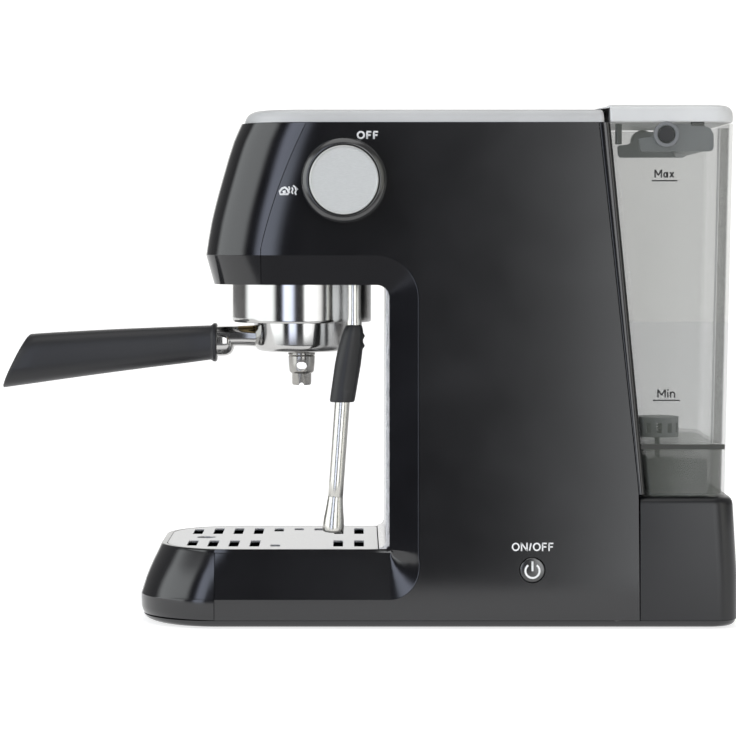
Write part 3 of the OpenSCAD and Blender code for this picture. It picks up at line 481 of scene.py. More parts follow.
def panel_stations():
    """Rays from the opening's edge outwards: (inner point, outer point, angle, seam share)."""
    stations = []
    corner = (COLUMN_FRONT - OPENING_R, HEAD_Z - OPENING_R)
    front_low, front_top = COVER_SEAM[0][1], COVER_SEAM[-1][1]
    for i in range(HEAD_RAYS):
        share = i / HEAD_RAYS
        inner = (front_low + share * (corner[0] - front_low), HEAD_Z)
        outer = (front_top + share * (corner[0] - front_top), CASING_TOP)
        stations.append((inner, outer, 90.0, 1 - share))
    rear_top = REAR_SEAM[-1][1]
    for i in range(CORNER_RAYS + 1):
        angle = 90.0 - 90.0 * i / CORNER_RAYS
        inner = (corner[0] + OPENING_R * math.cos(math.radians(angle)),
                 corner[1] + OPENING_R * math.sin(math.radians(angle)))
        if i <= CORNER_RAYS_ON_TOP:
            outer = (corner[0] + (rear_top - corner[0]) * i / CORNER_RAYS_ON_TOP, CASING_TOP)
        else:
            share = (i - CORNER_RAYS_ON_TOP) / (CORNER_RAYS - CORNER_RAYS_ON_TOP)
            z = CASING_TOP + (corner[1] - CASING_TOP) * share
            outer = (blend_values(REAR_SEAM, z), z)
        stations.append((inner, outer, angle, 0.0))
    for z in spread(corner[1], GRATE_Z, COLUMN_RAYS)[1:-1]:
        stations.append(((COLUMN_FRONT, z), (blend_values(REAR_SEAM, z), z), 0.0, 0.0))
    base_corner = (REAR_SEAM[0][1], PANEL_LOW.z)
    for i in range(BASE_RAYS + 1):
        angle = -90.0 * i / BASE_RAYS
        if i <= BASE_RAYS_ON_SEAM:
            z = GRATE_Z + (base_corner[1] - GRATE_Z) * i / BASE_RAYS_ON_SEAM
            outer = (blend_values(REAR_SEAM, z), z)
        else:
            share = (i - BASE_RAYS_ON_SEAM) / (BASE_RAYS - BASE_RAYS_ON_SEAM)
            outer = (base_corner[0] + (COLUMN_FRONT - base_corner[0]) * share, base_corner[1])
        stations.append(((COLUMN_FRONT, GRATE_Z), outer, angle, 0.0))
    for y in spread(COLUMN_FRONT, NOSE_SEAM, TRAY_RAYS)[1:]:
        stations.append(((y, GRATE_Z), (y, PANEL_LOW.z), -90.0, 0.0))
    return stations


def band_point(inner, angle, share):
    """Point on a ray at a share of the bevel's width, and the bevel's depth there."""
    width, depth = band_of(angle)
    way = Vector((math.cos(math.radians(angle)), math.sin(math.radians(angle))))
    return Vector(inner) + way * width * share, depth * (1 - share)


def outer_point(station, share):
    """Point on a ray between the crease and the outer edge; near the cover it follows the seam."""
    inner, outer, angle, near_seam = station
    start, _ = band_point(inner, angle, 1.0)
    point = start + (Vector(outer) - start) * share
    if near_seam:
        straight = COVER_SEAM[0][1] + (COVER_SEAM[-1][1] - COVER_SEAM[0][1]) * share
        point.x += near_seam * (blend_values(COVER_SEAM, point.y) - straight)
    return point


# Shares of the bevel's width and of the way from the crease to the outer edge; depth of the folded edge
BAND_ROWS = [0.0, 0.03, 0.1, 0.25, 0.45, 0.65, 0.85, 0.95, 0.985, 1.0]
OUTER_ROWS = [0.006, 0.02, 0.06, 0.12, 0.2, 0.3, 0.4, 0.5, 0.6, 0.7, 0.8, 0.9, 0.97, 1.0]
LIP = 6.8


def panel_x(point, depth):
    """How far out the side panel's skin is at a point, less a depth."""
    return HALF_W - depth - nose_inset(point.x, point.y) - lean(point.y)


def lip_point(inner, angle, drop):
    """Point of the folded edge: it turns inwards around the opening, and down beside the grate."""
    point, depth = band_point(inner, angle, 0.0)
    turn = max(0.0, -angle / 90)
    x = panel_x(point, depth) - drop * (1 - turn) - min(drop, 0.5) * turn
    return (x, point.x, point.y - max(0.0, drop - 0.4) * 0.3 * turn)


def side_panel_mesh():
    """Skin of the right side panel: folded edge, bevel round the opening, then the side."""
    bm = bmesh.new()
    rows = []
    stations = panel_stations()
    for drop in (LIP, LIP / 2, 0.9, 0.45):
        rows.append([lip_point(inner, angle, drop) for inner, _, angle, _ in stations])
    for share in BAND_ROWS:
        line = []
        for inner, _, angle, _ in stations:
            point, depth = band_point(inner, angle, share)
            line.append((panel_x(point, depth), point.x, point.y))
        rows.append(line)
    for share in OUTER_ROWS:
        points = [outer_point(station, share) for station in stations]
        rows.append([(panel_x(point, 0.0), point.x, point.y) for point in points])
    grid_faces(bm, rows)
    return bm


def shell_piece(name, bm, stands_for, cutters=(), body="housing"):
    """Open skin given a wall inwards, holes cut through it and rounded rims."""
    bmesh.ops.remove_doubles(bm, verts=bm.verts, dist=1e-4)
    bmesh.ops.recalc_face_normals(bm, faces=bm.faces)
    outward = sum(face.normal.dot(away_from_middle(face)) * face.calc_area() for face in bm.faces)
    if outward < 0:
        bmesh.ops.reverse_faces(bm, faces=bm.faces)
    mesh = bpy.data.meshes.new(name)
    bmesh.ops.scale(bm, vec=(MM, MM, MM), verts=bm.verts)
    bm.to_mesh(mesh)
    bm.free()
    piece = bpy.data.objects.new(name, mesh)
    bpy.context.scene.collection.objects.link(piece)
    mesh.materials.append(MAT["black"])
    wall = piece.modifiers.new("wall", "SOLIDIFY")
    wall.thickness = WALL * MM
    wall.offset = -1.0
    cut_and_round(piece, cutters, 0.3, 3)
    smooth(piece, 40)
    even_shading(piece)
    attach(piece, body)
    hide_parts(*stands_for)


def away_from_middle(face):
    """Way from the middle of the machine to a face, in plan."""
    centre = face.calc_center_median()
    return Vector((centre.x, centre.y * 0.5, 0))


def freeze(piece):
    """Applies every modifier of a piece."""
    graph = bpy.context.evaluated_depsgraph_get()
    graph.update()
    mesh = bpy.data.meshes.new_from_object(piece.evaluated_get(graph))
    piece.modifiers.clear()
    piece.data = mesh


def cut_and_round(piece, cutters, rim_width, rim_steps):
    """Cuts holes through a piece, rounds its sharp rims and applies it all."""
    for cutter in cutters:
        hole = piece.modifiers.new("hole", "BOOLEAN")
        hole.operation = "DIFFERENCE"
        hole.object = cutter
        hole.solver = "EXACT"
    rim = piece.modifiers.new("rim", "BEVEL")
    rim.width = rim_width * MM
    rim.segments = rim_steps
    rim.limit_method = "ANGLE"
    rim.angle_limit = math.radians(50)
    freeze(piece)
    for cutter in cutters:
        bpy.data.objects.remove(cutter)


def cutter_rod(centre, way, radius, length):
    """Round rod that a shell's hole is cut with, in millimetres."""
    bm = bmesh.new()
    bmesh.ops.create_cone(bm, cap_ends=True, segments=64, radius1=radius, radius2=radius, depth=length)
    aim(bm, way, centre)
    bmesh.ops.scale(bm, vec=(MM, MM, MM), verts=bm.verts)
    mesh = bpy.data.meshes.new("cutter")
    bm.to_mesh(mesh)
    bm.free()
    cutter = bpy.data.objects.new("cutter", mesh)
    bpy.context.scene.collection.objects.link(cutter)
    cutter.hide_render = True
    return cutter


def side_panels():
    """Right panel with the hole of its power key, and the mirrored left one."""
    power = (POWER_LOW + POWER_HIGH) / 2
    for name, side in (("side_panel_right", 1), ("side_panel_left", -1)):
        bm = side_panel_mesh()
        cutters = []
        if side < 0:
            bmesh.ops.scale(bm, vec=(-1, 1, 1), verts=bm.verts)
        else:
            radius = (POWER_HIGH.z - POWER_LOW.z) / 2 + 0.35
            cutters.append(cutter_rod((HALF_W, power.y, power.z), (1, 0, 0), radius, 20))
        shell_piece(name + "_shell", bm, [name], cutters)


# ---------- front cover and its keys ----------

KEY_LOW, KEY_HIGH = box_mm("brew_two_button")
# Front keys: height, tilt, radius and pitch
KEY_Z = 252.0
KEY_TILT = math.radians(15.5)
KEY_NORMAL = Vector((0, -math.cos(KEY_TILT), math.sin(KEY_TILT)))
KEY_R = (KEY_HIGH.x - KEY_LOW.x) / 2
KEY_PITCH = 26.0
COVER_ROWS = ([HEAD_Z, HEAD_Z + 0.5, 203.0, 207.0, 211.0, 214.5, CREASE_Z - 0.9, CREASE_Z - 0.25, CREASE_Z,
               CREASE_Z + 0.25, CREASE_Z + 0.9] + spread(221.0, CASING_TOP, 14))


def head_half(z):
    """Half width of the casing at a height."""
    if z < CREASE_Z:
        return HEAD_LOW_HALF + (HALF_W - HEAD_LOW_HALF) * (z - HEAD_Z) / (CREASE_Z - HEAD_Z)
    return HALF_W - lean(z)


def cover_line(z):
    """Right-hand seam, round the nose and back to the left-hand seam at one height."""
    half, front = head_half(z), blend_values(NOSE, z)
    seam = blend_values(COVER_SEAM, z) - SEAM_GAP
    first = math.asin(((front + NOSE_DEEP - seam) / NOSE_DEEP) ** (NOSE_POWER / 2))
    side = []
    for turn in spread(first, math.pi / 2, 26):
        x = half - NOSE_WIDE + NOSE_WIDE * max(0.0, math.cos(turn)) ** (2 / NOSE_POWER)
        side.append((x, front + NOSE_DEEP - NOSE_DEEP * math.sin(turn) ** (2 / NOSE_POWER), z))
    flat = [(x, front, z) for x in spread(half - NOSE_WIDE, -(half - NOSE_WIDE), 6)[1:-1]]
    return side + flat + [(-x, y, z) for x, y, z in reversed(side)]


def key_centre(x):
    """Place of a front key on the sloping nose."""
    return Vector((x, blend_values(NOSE, KEY_Z), KEY_Z))


def front_cover():
    """Cover wrapped round the nose, with three holes for the keys."""
    bm = bmesh.new()
    grid_faces(bm, [cover_line(z) for z in COVER_ROWS])
    cutters = [cutter_rod(key_centre(i * KEY_PITCH), KEY_NORMAL, KEY_R + 0.3, 24) for i in (-1, 0, 1)]
    shell_piece("front_cover_shell", bm, ["front_cover"], cutters)


def front_keys():
    """Round front keys, slightly sunk into the cover."""
    profile = [(0.01, 0), (KEY_R - 1.6, 0), (KEY_R - 0.7, -0.15), (KEY_R - 0.2, -0.6), (KEY_R, -1.2),
               (KEY_R, -4.0), (0.01, -4.0)]
    names = (("brew_one_button", "brew_one_key"), ("brew_two_button", "brew_two_key"),
             ("steam_button", "steam_key"))
    for i, (node, body) in enumerate(names):
        bm = lathe(profile, (0, 0, 0), "Z", 64)
        aim(bm, KEY_NORMAL, key_centre((i - 1) * KEY_PITCH) - KEY_NORMAL * 0.3)
        mesh_piece(node + "_cap", bm, body, MAT["silver"], (node,))


# ---------- plates, spine and dock ----------


def plan_ring(half, front, rear, r_front, r_rear, z, steps=14):
    """Closed plan outline with round front and rear corners at a height."""
    ring = []
    corners = (((half - r_front, front + r_front), r_front, -90),
               ((half - r_rear, rear - r_rear), r_rear, 0), ((-half + r_rear, rear - r_rear), r_rear, 90),
               ((-half + r_front, front + r_front), r_front, 180))
    for centre, radius, start in corners:
        ring += [(x, y, z) for x, y in arc_points(centre, radius, start, start + 90, steps)]
    return ring


def rounded_rise(low, high, r_low, r_high, steps=5):
    """Heights and insets of a wall with rounded lower and upper edges."""
    rise = []
    if r_low:
        for i in range(steps + 1):
            turn = math.pi / 2 * i / steps
            rise.append((low + r_low * (1 - math.cos(turn)), r_low * (1 - math.sin(turn))))
    else:
        rise.append((low, 0.0))
    if r_high:
        for i in range(steps + 1):
            turn = math.pi / 2 * i / steps
            rise.append((high - r_high * (1 - math.sin(turn)), r_high * (1 - math.cos(turn))))
    else:
        rise.append((high, 0.0))
    return rise


def slab(half, front, rear, r_front, r_rear, low, high, r_low, r_high):
    """Rings of a plate with a round plan and rounded edges."""
    return [
        plan_ring(half - inset, front + inset, rear - inset, max(r_front - inset, 0.3),
                  max(r_rear - inset, 0.3), z)
        for z, inset in rounded_rise(low, high, r_low, r_high)
    ]


def top_plate():
    """Silver plate with a rounded edge and a shallow recess."""
    half = TOP_HIGH.x
    recess = (62.0, -97.0, 88.0, 26.0)
    rings = []
    for z, inset in ((295.0, 0.0), (296.5, 0.25), (298.2, 0.9), (299.8, 2.0), (301.0, 3.6), (301.8, 5.4),
                     (302.2, 7.0), (TOP_HIGH.z, 9.0)):
        side = inset * 0.45
        rings.append(plan_ring(half - side, TOP_LOW.y + inset, TOP_HIGH.y - side * 0.4, 36 - inset, 2.2, z))
    for inset, z in ((0.0, TOP_HIGH.z), (0.3, TOP_HIGH.z - 0.1), (0.5, TOP_HIGH.z - 0.4),
                     (0.7, TOP_HIGH.z - 1.0), (1.2, TOP_HIGH.z - 1.2)):
        wide, front, rear, r = recess
        rings.append(plan_ring(wide - inset, front + inset, rear - inset, r - inset, r - inset, z))
    mesh_piece("top_plate_skin", loft(rings), "housing", MAT["silver"], ("top_plate",),
               angle=35)


def rear_spine():
    """Strip that closes the casing behind the side panels and leans with them."""
    rings = []
    for z in spread(SPINE_LOW.z, CASING_TOP, 10):
        seam = blend_values(REAR_SEAM, z) + SEAM_GAP
        share = (z - SPINE_LOW.z) / (CASING_TOP - SPINE_LOW.z)
        rear = seam + 4.0 + 2.6 * share
        half = HALF_W - lean(z)
        ring = [(half - 2.4, seam, z)]
        ring += [(x, y, z) for x, y in arc_points((half - 0.6, seam + 0.6), 0.6, -90, 0, 3)]
        ring += [(x, y, z) for x, y in arc_points((half - 3.4, rear - 3.4), 3.4, 0, 90, 8)]
        ring += [(-x, y, z) for x, y, z in reversed(ring)]
        rings.append(ring)
    mesh_piece("rear_spine_skin", loft(rings), "housing", MAT["black"], ("rear_spine",),
               0.3, 50)


# Front of the dock; half width, front, rear and top of the pedestal under the tank
DOCK_FRONT = 118.4
PEDESTAL = (56.0, 125.6, 160.4, 97.7)


def tank_dock():
    """Housing behind that carries the tank, with the pedestal it stands on."""
    top, rear = 76.6, DOCK_HIGH.y
    half = HALF_W
    rings = []
    for z, back, inset in ((DOCK_LOW.z, 0, 0), (30, 0, 0), (56, 1.4, 0), (top - 5, 2.3, 0),
                           (top - 3.2, 2.6, 0.35), (top - 1.7, 3.3, 1.2), (top - 0.7, 4.3, 2.4),
                           (top - 0.15, 5.6, 3.9), (top, 7.0, 5.4)):
        rings.append(plan_ring(half - inset, DOCK_FRONT, rear - back, 0.5, 13.5, z, 12))
    bm = loft(rings)
    mesh_piece("tank_dock_skin", bm, "housing", MAT["dock"], ("tank_dock",), 0.3, 50)
    half, front, back, high = PEDESTAL
    bm = loft(slab(half, front, back, 6, 6, top - 0.5, high, 0, 2.0))
    mesh_piece("tank_pedestal", bm, "housing", MAT["black"])


def base_plate():
    """Floor of the machine, turned up all round below the seam."""
    rings = []
    for z, inset in ((PLATE_LOW.z, 9.0), (1.0, 6.6), (1.5, 4.4), (2.3, 2.4), (3.2, 1.0),
                     (PLATE_HIGH.z, 0.25)):
        half, front, rear = HALF_W - 0.4 - inset * 0.4, PLATE_LOW.y + inset, PLATE_HIGH.y - inset * 0.4
        rings.append(plan_ring(half, front, rear, 42 - inset * 0.7, 13, z, 16))
    mesh_piece("base_plate_skin", loft(rings), "housing", MAT["black"], ("base_plate",),
               angle=35)


def rubber_feet():
    """Four round feet in one piece."""
    bm = bmesh.new()
    low, high = box_mm("rubber_feet")
    radius = 8.0
    profile = [(0.01, low.z), (radius - 1.2, low.z), (radius - 0.3, low.z + 0.4), (radius, low.z + 1.2),
               (radius, high.z), (0.01, high.z)]
    for x in (low.x + radius, high.x - radius):
        for y in (low.y + radius, high.y - radius):
            add_mesh(bm, lathe(profile, (x, y, 0), "Z", 40))
    mesh_piece("feet", bm, "housing", MAT["rubber"], ("rubber_feet",))


def backsplash():
    """Steel sheet behind the group with a cove at its foot."""
    front, rear = SPLASH_LOW.y + 4.0, SPLASH_HIGH.y
    foot = SPLASH_LOW.z
    cove = 4.0
    line = [(front, SPLASH_HIGH.z)]
    line += [(front, z) for z in spread(SPLASH_HIGH.z - 1, foot + 0.8 + cove + 0.5, 8)]
    line += arc_points((front - cove, foot + 0.8 + cove), cove, 0, -90, 10)
    line += [(front - cove, foot), (rear, foot), (rear, SPLASH_HIGH.z)]
    bm = across(line, spread(SPLASH_LOW.x, SPLASH_HIGH.x, 4))
    mesh_piece("backsplash_sheet", bm, "housing", MAT["splash"], ("backsplash",), 0.25, 40)


# ---------- drip tray ----------

# Width of the tray's rim in plan
RIM_IN = 3.2
# Half width, front and front corner of the tub, and its rear corner
TUB = (63.2, -159.4, 37.0)
TUB_REAR_R = 5.0


def tray_line(z, front, half, r):
    """From the right-hand seam round the nose to the left-hand seam."""
    seam = NOSE_SEAM - SEAM_GAP
    first = -math.degrees(math.asin(max(0.0, front + r - seam) / r))
    side = [(half - r + r * math.cos(math.radians(first)), seam, z)]
    side += [(x, y, z) for x, y in arc_points((half - r, front + r), r, first, -90, 26)[1:]]
    return side + [(-x, y, z) for x, y, z in reversed(side)]


def tub_ring(z, inset, r_rear):
    """Plan outline of the tray's tub at a height."""
    half, front, r_front = TUB
    return plan_ring(half - inset, front + inset, TRAY_HIGH.y - inset, r_front - inset, r_rear, z)


def drip_tray():
    """Nose of the tray as a shell, and the tub behind it."""
    bm = bmesh.new()
    rows = [tray_line(z, front, half, TRAY_R) for z, front, half in TRAY_SKIN]
    z, front, half = TRAY_SKIN[-1]
    for drop, inward in ((0.0, 0.4), (0.0, 1.0), (0.0, RIM_IN - 0.3), (0.3, RIM_IN), (2.2, RIM_IN)):
        sideways = inward * 0.35
        rows.append(tray_line(GRATE_Z - drop, front + inward, half - sideways, TRAY_R - inward))
    grid_faces(bm, rows)
    shell_piece("tray_nose", bm, ["drip_tray"], body="tray")
    low, high = TRAY_LOW.z + 0.4, 43.4
    wall = 2.2
    rings = [tub_ring(z, inset, TUB_REAR_R - min(inset, 2))
             for z, inset in rounded_rise(low, high, 2.5, 0.5)]
    for z, inset in ((high, wall - 0.5), (high - 0.5, wall), (low + 5.0, wall + 0.1),
                     (low + 3.2, wall + 0.8), (low + 2.6, wall + 2.6)):
        rings.append(tub_ring(z, inset, max(TUB_REAR_R - inset, 1.2)))
    mesh_piece("tray_tub", loft(rings), "tray", MAT["black"], angle=35)


# Slots of the grate: length, width, middle from the centre line, first row's depth, pitch, rows
SLOT_L = 33.0
SLOT_W = 5.7
SLOT_X = 35.0
SLOT_FIRST = -144.4
SLOT_PITCH = 12.4
SLOTS = 9
# Plain field in the middle of the grate: centre, half sizes and power of its rounded outline
FIELD = ((4.0, -79.0), (45.0, 21.0), 3)


def curve_ring(curve, points):
    """Adds a closed outline in millimetres to a curve."""
    spline = curve.splines.new("POLY")
    spline.points.add(len(points) - 1)
    for node, point in zip(spline.points, points):
        node.co = (*[value * MM for value in point], 1)
    spline.use_cyclic_u = True


def sheet_from_rings(name, rings, low, high, edge, body, material, stands_for=()):
    """Flat sheet in plan with holes, with its edges rounded over."""
    curve = bpy.data.curves.new(name, "CURVE")
    curve.dimensions = "2D"
    curve.fill_mode = "BOTH"
    curve.extrude = ((high - low) / 2 - edge) * MM
    curve.bevel_depth = edge * MM
    curve.bevel_resolution = 2
    for ring in rings:
        curve_ring(curve, [(x, y, 0) for x, y in ring])
    shape = bpy.data.objects.new(name, curve)
    bpy.context.scene.collection.objects.link(shape)
    graph = bpy.context.evaluated_depsgraph_get()
    mesh = bpy.data.meshes.new_from_object(shape.evaluated_get(graph))
    bpy.data.objects.remove(shape)
    bm = bmesh.new()
    bm.from_mesh(mesh)
    bmesh.ops.scale(bm, vec=(1 / MM, 1 / MM, 1 / MM), verts=bm.verts)
    bmesh.ops.translate(bm, vec=(0, 0, (low + high) / 2), verts=bm.verts)
    even_shading(mesh_piece(name, bm, body, material, stands_for))


def slot_ring(x, y, length, width, r):
    """Outline of a slot with round corners."""
    half, deep = length / 2, width / 2
    ring = plan_ring(half, -deep, deep, r, r, 0, 5)
    return [(x + a, y + b) for a, b, _ in ring]


def field_edge(side, y):
    """How far the plain field reaches sideways at a depth."""
    (x_mid, y_mid), (half_x, half_y), power = FIELD
    share = min(1.0, abs(y - y_mid) / half_y)
    return side * x_mid + half_x * (1 - share ** power) ** (1 / power) if share < 1 else 0.0


def drip_grate():
    """Steel sheet with slots at both sides, a plain field and the hole of the float."""
    edge = 0.35
    half, front, rear = GRATE_HIGH.x - edge, GRATE_LOW.y + edge, GRATE_HIGH.y - edge
    rings = [[(x, y) for x, y, _ in plan_ring(half, front, rear, 39.5, 2.5, 0, 20)]]
    for side in (-1, 1):
        for i in range(SLOTS):
            y = SLOT_FIRST + i * SLOT_PITCH
            outer = SLOT_X + SLOT_L / 2 - (5.0 if i == 0 else 0.0)
            inner = max(SLOT_X - SLOT_L / 2, field_edge(side, y))
            if outer - inner > SLOT_W:
                middle = side * (outer + inner) / 2
                rings.append(slot_ring(middle, y, outer - inner + edge * 2, SLOT_W + edge * 2, 1.0))
    rings.append([(x, y) for x, y in arc_points((0, -138), 6.0, 0, 350, 35)])
    sheet_from_rings("drip_grate_sheet", rings, GRATE_HIGH.z - 1.5, GRATE_HIGH.z, edge, "grate",
                     MAT["sheet"], ("drip_grate",))


def tray_float():
    """Float that shows a full tray, with its button through the grate."""
    low, high = box_mm("tray_float")
    centre = ((low.x + high.x) / 2, (low.y + high.y) / 2, 0)
    wide = (high.x - low.x) / 2
    profile = [(0.01, low.z), (wide - 1.5, low.z), (wide, low.z + 1.5), (wide, low.z + 6.7),
               (wide - 1.5, low.z + 8.2), (4.4, low.z + 8.6), (4.0, low.z + 9.4), (4.0, high.z - 1.2),
               (3.4, high.z - 0.3), (2.4, high.z), (0.01, high.z)]
    mesh_piece("float_button", lathe(profile, centre, "Z", 48), "float", MAT["black"],
               ("tray_float",))


# ---------- brewing group and portafilter ----------

# Axis and radius of the brewing group
GROUP_Y = (RING_LOW.y + RING_HIGH.y) / 2
GROUP_AXIS = (0, GROUP_Y, 0)
RING_R = (RING_HIGH.x - RING_LOW.x) / 2


def group_ring():
    """Polished ring that the portafilter locks into."""
    inner = RING_R - 3.1
    low, high = RING_LOW.z, RING_HIGH.z
    profile = [(inner, high), (RING_R, high), (RING_R, HEAD_Z - 1), (RING_R, low + 3), (RING_R, low + 1.4),
               (RING_R - 0.15, low + 0.7), (RING_R - 0.5, low + 0.2), (RING_R - 1.1, low),
               (inner + 0.5, low), (inner, low + 0.5)]
    mesh_piece("group_collar", lathe(profile + [profile[0]], GROUP_AXIS, "Z", 160), "housing",
               MAT["chrome"], ("group_ring",), angle=25)


# Radius of the portafilter's bowl and depth of its collar at the handle
BOWL_R = 29.0
COLLAR_Y = -131.4


def section_ring(y, low, high, half, power, steps=48):
    """Closed oval section across the machine at one depth; a higher power makes it squarer."""
    middle, tall = (low + high) / 2, (high - low) / 2
    ring = []
    for i in range(steps):
        turn = 2 * math.pi * i / steps
        c, s = math.cos(turn), math.sin(turn)
        ring.append((half * math.copysign(abs(c) ** (2 / power), c), y,
                     middle + tall * math.copysign(abs(s) ** (2 / power), s)))
    return ring


def portafilter_holder():
    """Bowl with its neck, the collar of the handle and two locking ears."""
    low, top, foot = 158.4, BOWL_HIGH.z, 162.0
    inner = 26.8
    profile = [(3.6, low + 1.5), (6, low + 0.4), (20, low), (BOWL_R - 3.6, low + 0.5),
               (BOWL_R - 1.6, low + 1.6), (BOWL_R - 0.5, foot - 0.2), (BOWL_R, foot + 1.4),
               (BOWL_R, top - 4), (BOWL_R, top - 0.5), (BOWL_R - 0.5, top), (inner + 0.4, top),
               (inner, top - 0.5), (inner, foot), (inner - 2, low + 2.6), (3.6, low + 2.6)]
    bm = lathe(profile + [profile[0]], GROUP_AXIS, "Z", 128)
    rings = []
    for y, bottom, high, half in ((-104, 160.9, 174.4, 9.0), (-108, 161.2, 174.4, 8.7),
                                  (-112, 161.5, 174.1, 8.3), (-117, 161.7, 173.9, 8.0),
                                  (-124, 161.6, 173.8, 8.0), (COLLAR_Y, 161.6, 173.8, 8.0)):
        rings.append(section_ring(y, bottom, high, half, 2.4))
    add_mesh(bm, loft(rings))
    rings = []
    for y, r in ((-120.4, 1.0), (-120.7, 3.6), (-121.6, 6.0), (-123.2, 7.8), (-125.5, 8.8), (-128, 9.0),
                 (COLLAR_Y, 9.0)):
        rings.append(section_ring(y, 164.6 - r, 164.6 + r, r, 2.0))
    add_mesh(bm, loft(rings))
    for side in (0, 180):
        add_mesh(bm, locking_ear(side))
    mesh_piece("portafilter_bowl", bm, "portafilter", MAT["chrome"],
               ("portafilter_holder",), angle=35)


def locking_ear(side):
    """One of the two ears that lock the bowl into the group."""
    low, high = 182.8, 185.8
    rings = []
    outline = [(28.2, -13), (33.4, -13), (34.1, -11)]
    outline += [(34.2, a) for a in (-6, 0, 6)]
    outline += [(34.1, 11), (33.4, 13), (28.2, 13)]
    for z, inset in ((low, 0.3), (low + 0.4, 0), (high - 0.4, 0), (high, 0.3)):
        rings.append([
            ((r - inset) * math.cos(math.radians(a + side)),
             GROUP_Y + (r - inset) * math.sin(math.radians(a + side)), z)
            for r, a in outline
        ])
    return loft(rings)


def filter_basket():
    """Steel basket that hangs in the bowl by its rim."""
    low, top = 163.0, 186.9
    profile = [(0.01, low), (21, low), (24.2, low + 0.6), (25.8, low + 2.2), (26.2, low + 4.6),
               (26.2, top - 1.6), (26.8, top - 1.1), (29.2, top - 1.1), (29.6, top - 0.6), (29.2, top),
               (26.6, top), (25.7, top - 0.6), (25.5, top - 1.6), (25.5, low + 4.6), (25.1, low + 2.6),
               (23.8, low + 1.2), (21, low + 0.7), (0.01, low + 0.7)]
    mesh_piece("basket_cup", lathe(profile, GROUP_AXIS, "Z", 96), "portafilter", MAT["steel"],
               ("filter_basket",), angle=25)


def portafilter_spout():
    """Short spout with a cross window and a notched tip."""
    low, high = SPOUT_LOW.z, 158.4
    profile = [(3.5, high + 2.2), (3.5, high), (8.0, high), (8.2, high - 0.5), (8.2, high - 1.8),
               (7.7, high - 2.3), (8.1, high - 2.9), (7.9, 151.0), (7.5, 146.6), (6.9, 145.7), (5.9, 145.2),
               (5.9, low + 0.8), (5.5, low), (4.2, low), (3.6, low + 0.6), (3.6, 152.5), (2.0, 153.5),
               (2.0, high + 2.2)]
    bm = lathe(profile + [profile[0]], GROUP_AXIS, "Z", 64)
    bmesh.ops.remove_doubles(bm, verts=bm.verts, dist=1e-4)
    bmesh.ops.recalc_face_normals(bm, faces=bm.faces)
    cutters = [cutter_rod((0, GROUP_Y + shift, 149.8), (1, 0, 0), 2.4, 30) for shift in (-0.8, 0.8)]
    cutters += [cutter_rod((0, GROUP_Y, low), way, 1.5, 30) for way in ((1, 0, 0), (0, 1, 0))]
    piece = mesh_piece("spout_body", bm, "portafilter", MAT["dark_steel"],
                       ("portafilter_spout",))
    cut_and_round(piece, cutters, 0.25, 2)
    smooth(piece, 35)


# Depth, bottom, top and half width of the handle
HANDLE = [(-131.5, 152.9, 175.0, 12.4), (-132.0, 152.3, 175.6, 12.9), (-133.4, 152.3, 175.6, 12.9),
          (-134.0, 152.8, 175.0, 12.3), (-135.2, 153.4, 174.2, 11.6), (-150, 151.4, 173.7, 12.0),
          (-170, 149.0, 172.9, 12.9), (-190, 146.4, 172.1, 13.5), (-210, 143.7, 171.1, 13.9),
          (-230, 140.9, 170.0, 14.0), (-241, 139.3, 169.3, 14.0)]
# Lower and upper end of the slanted end face, as (depth, height)
TIP = (-260.6, 136.6)
HANDLE_END = (-244.5, 169.0)


def portafilter_handle():
    """Oval handle cut off at a slant, with a slightly bulging end face."""
    rings = [section_ring(y, low, high, half, 2.7, 56) for y, low, high, half in HANDLE]
    y_top, z_top = HANDLE_END
    y_low, z_low = TIP
    for inset, out in ((0.0, 0.0), (0.35, 0.55), (1.2, 1.2), (4.0, 2.0), (7.5, 2.6)):
        ring = []
        base = section_ring(0, -1, 1, 1, 2.7, 56)
        for x, _, side in base:
            share = (side * (1 - inset / 15.5) + 1) / 2
            y = y_low + (y_top - y_low) * share
            z = z_low + (z_top - z_low) * share
            slant = Vector((z_top - z_low, -(y_top - y_low))).normalized()
            ring.append((x * (13.6 - inset), y - slant.x * out, z + slant.y * out * 0.4))
        rings.append(ring)
    mesh_piece("handle_grip", loft(rings), "portafilter", MAT["handle"],
               ("portafilter_handle",), angle=40)


# ---------- steam wand ----------

# Steam wand: place of its axis, heights of its upper and lower bend, shift between them and tip
WAND_X = (PIPE_LOW.x + PIPE_HIGH.x) / 2
WAND_Y = PIPE_HIGH.y - 3.9
WAND_BEND = 176.0
WAND_KNEE = 131.0
WAND_SHIFT = 7.0
WAND_TIP = (-60.6, 54.0)


def wand_y(z):
    """Depth of the wand's axis at a height."""
    if z >= WAND_BEND:
        return WAND_Y
    if z >= WAND_KNEE:
        return WAND_Y - WAND_SHIFT * (WAND_BEND - z) / (WAND_BEND - WAND_KNEE)
    knee = WAND_Y - WAND_SHIFT
    return knee + (WAND_TIP[0] - knee) * (WAND_KNEE - z) / (WAND_KNEE - WAND_TIP[1])


def steam_pipe():
    """Pipe of the wand with a bulge above its grip."""
    points, radii = [], []
    for z, r in ((PIPE_HIGH.z, 3.9), (198, 3.9), (184, 3.9), (181, 4.0), (178.6, 4.5), (176.8, 4.6),
                 (175, 4.6), (172, 3.9), (165, 3.8), (150, 3.8), (134, 3.8)):
        points.append((WAND_X, wand_y(z), z))
        radii.append(r)
    mesh_piece("wand_pipe", tube(points, radii, 40), "steam_wand", MAT["wand"],
               ("steam_pipe",))


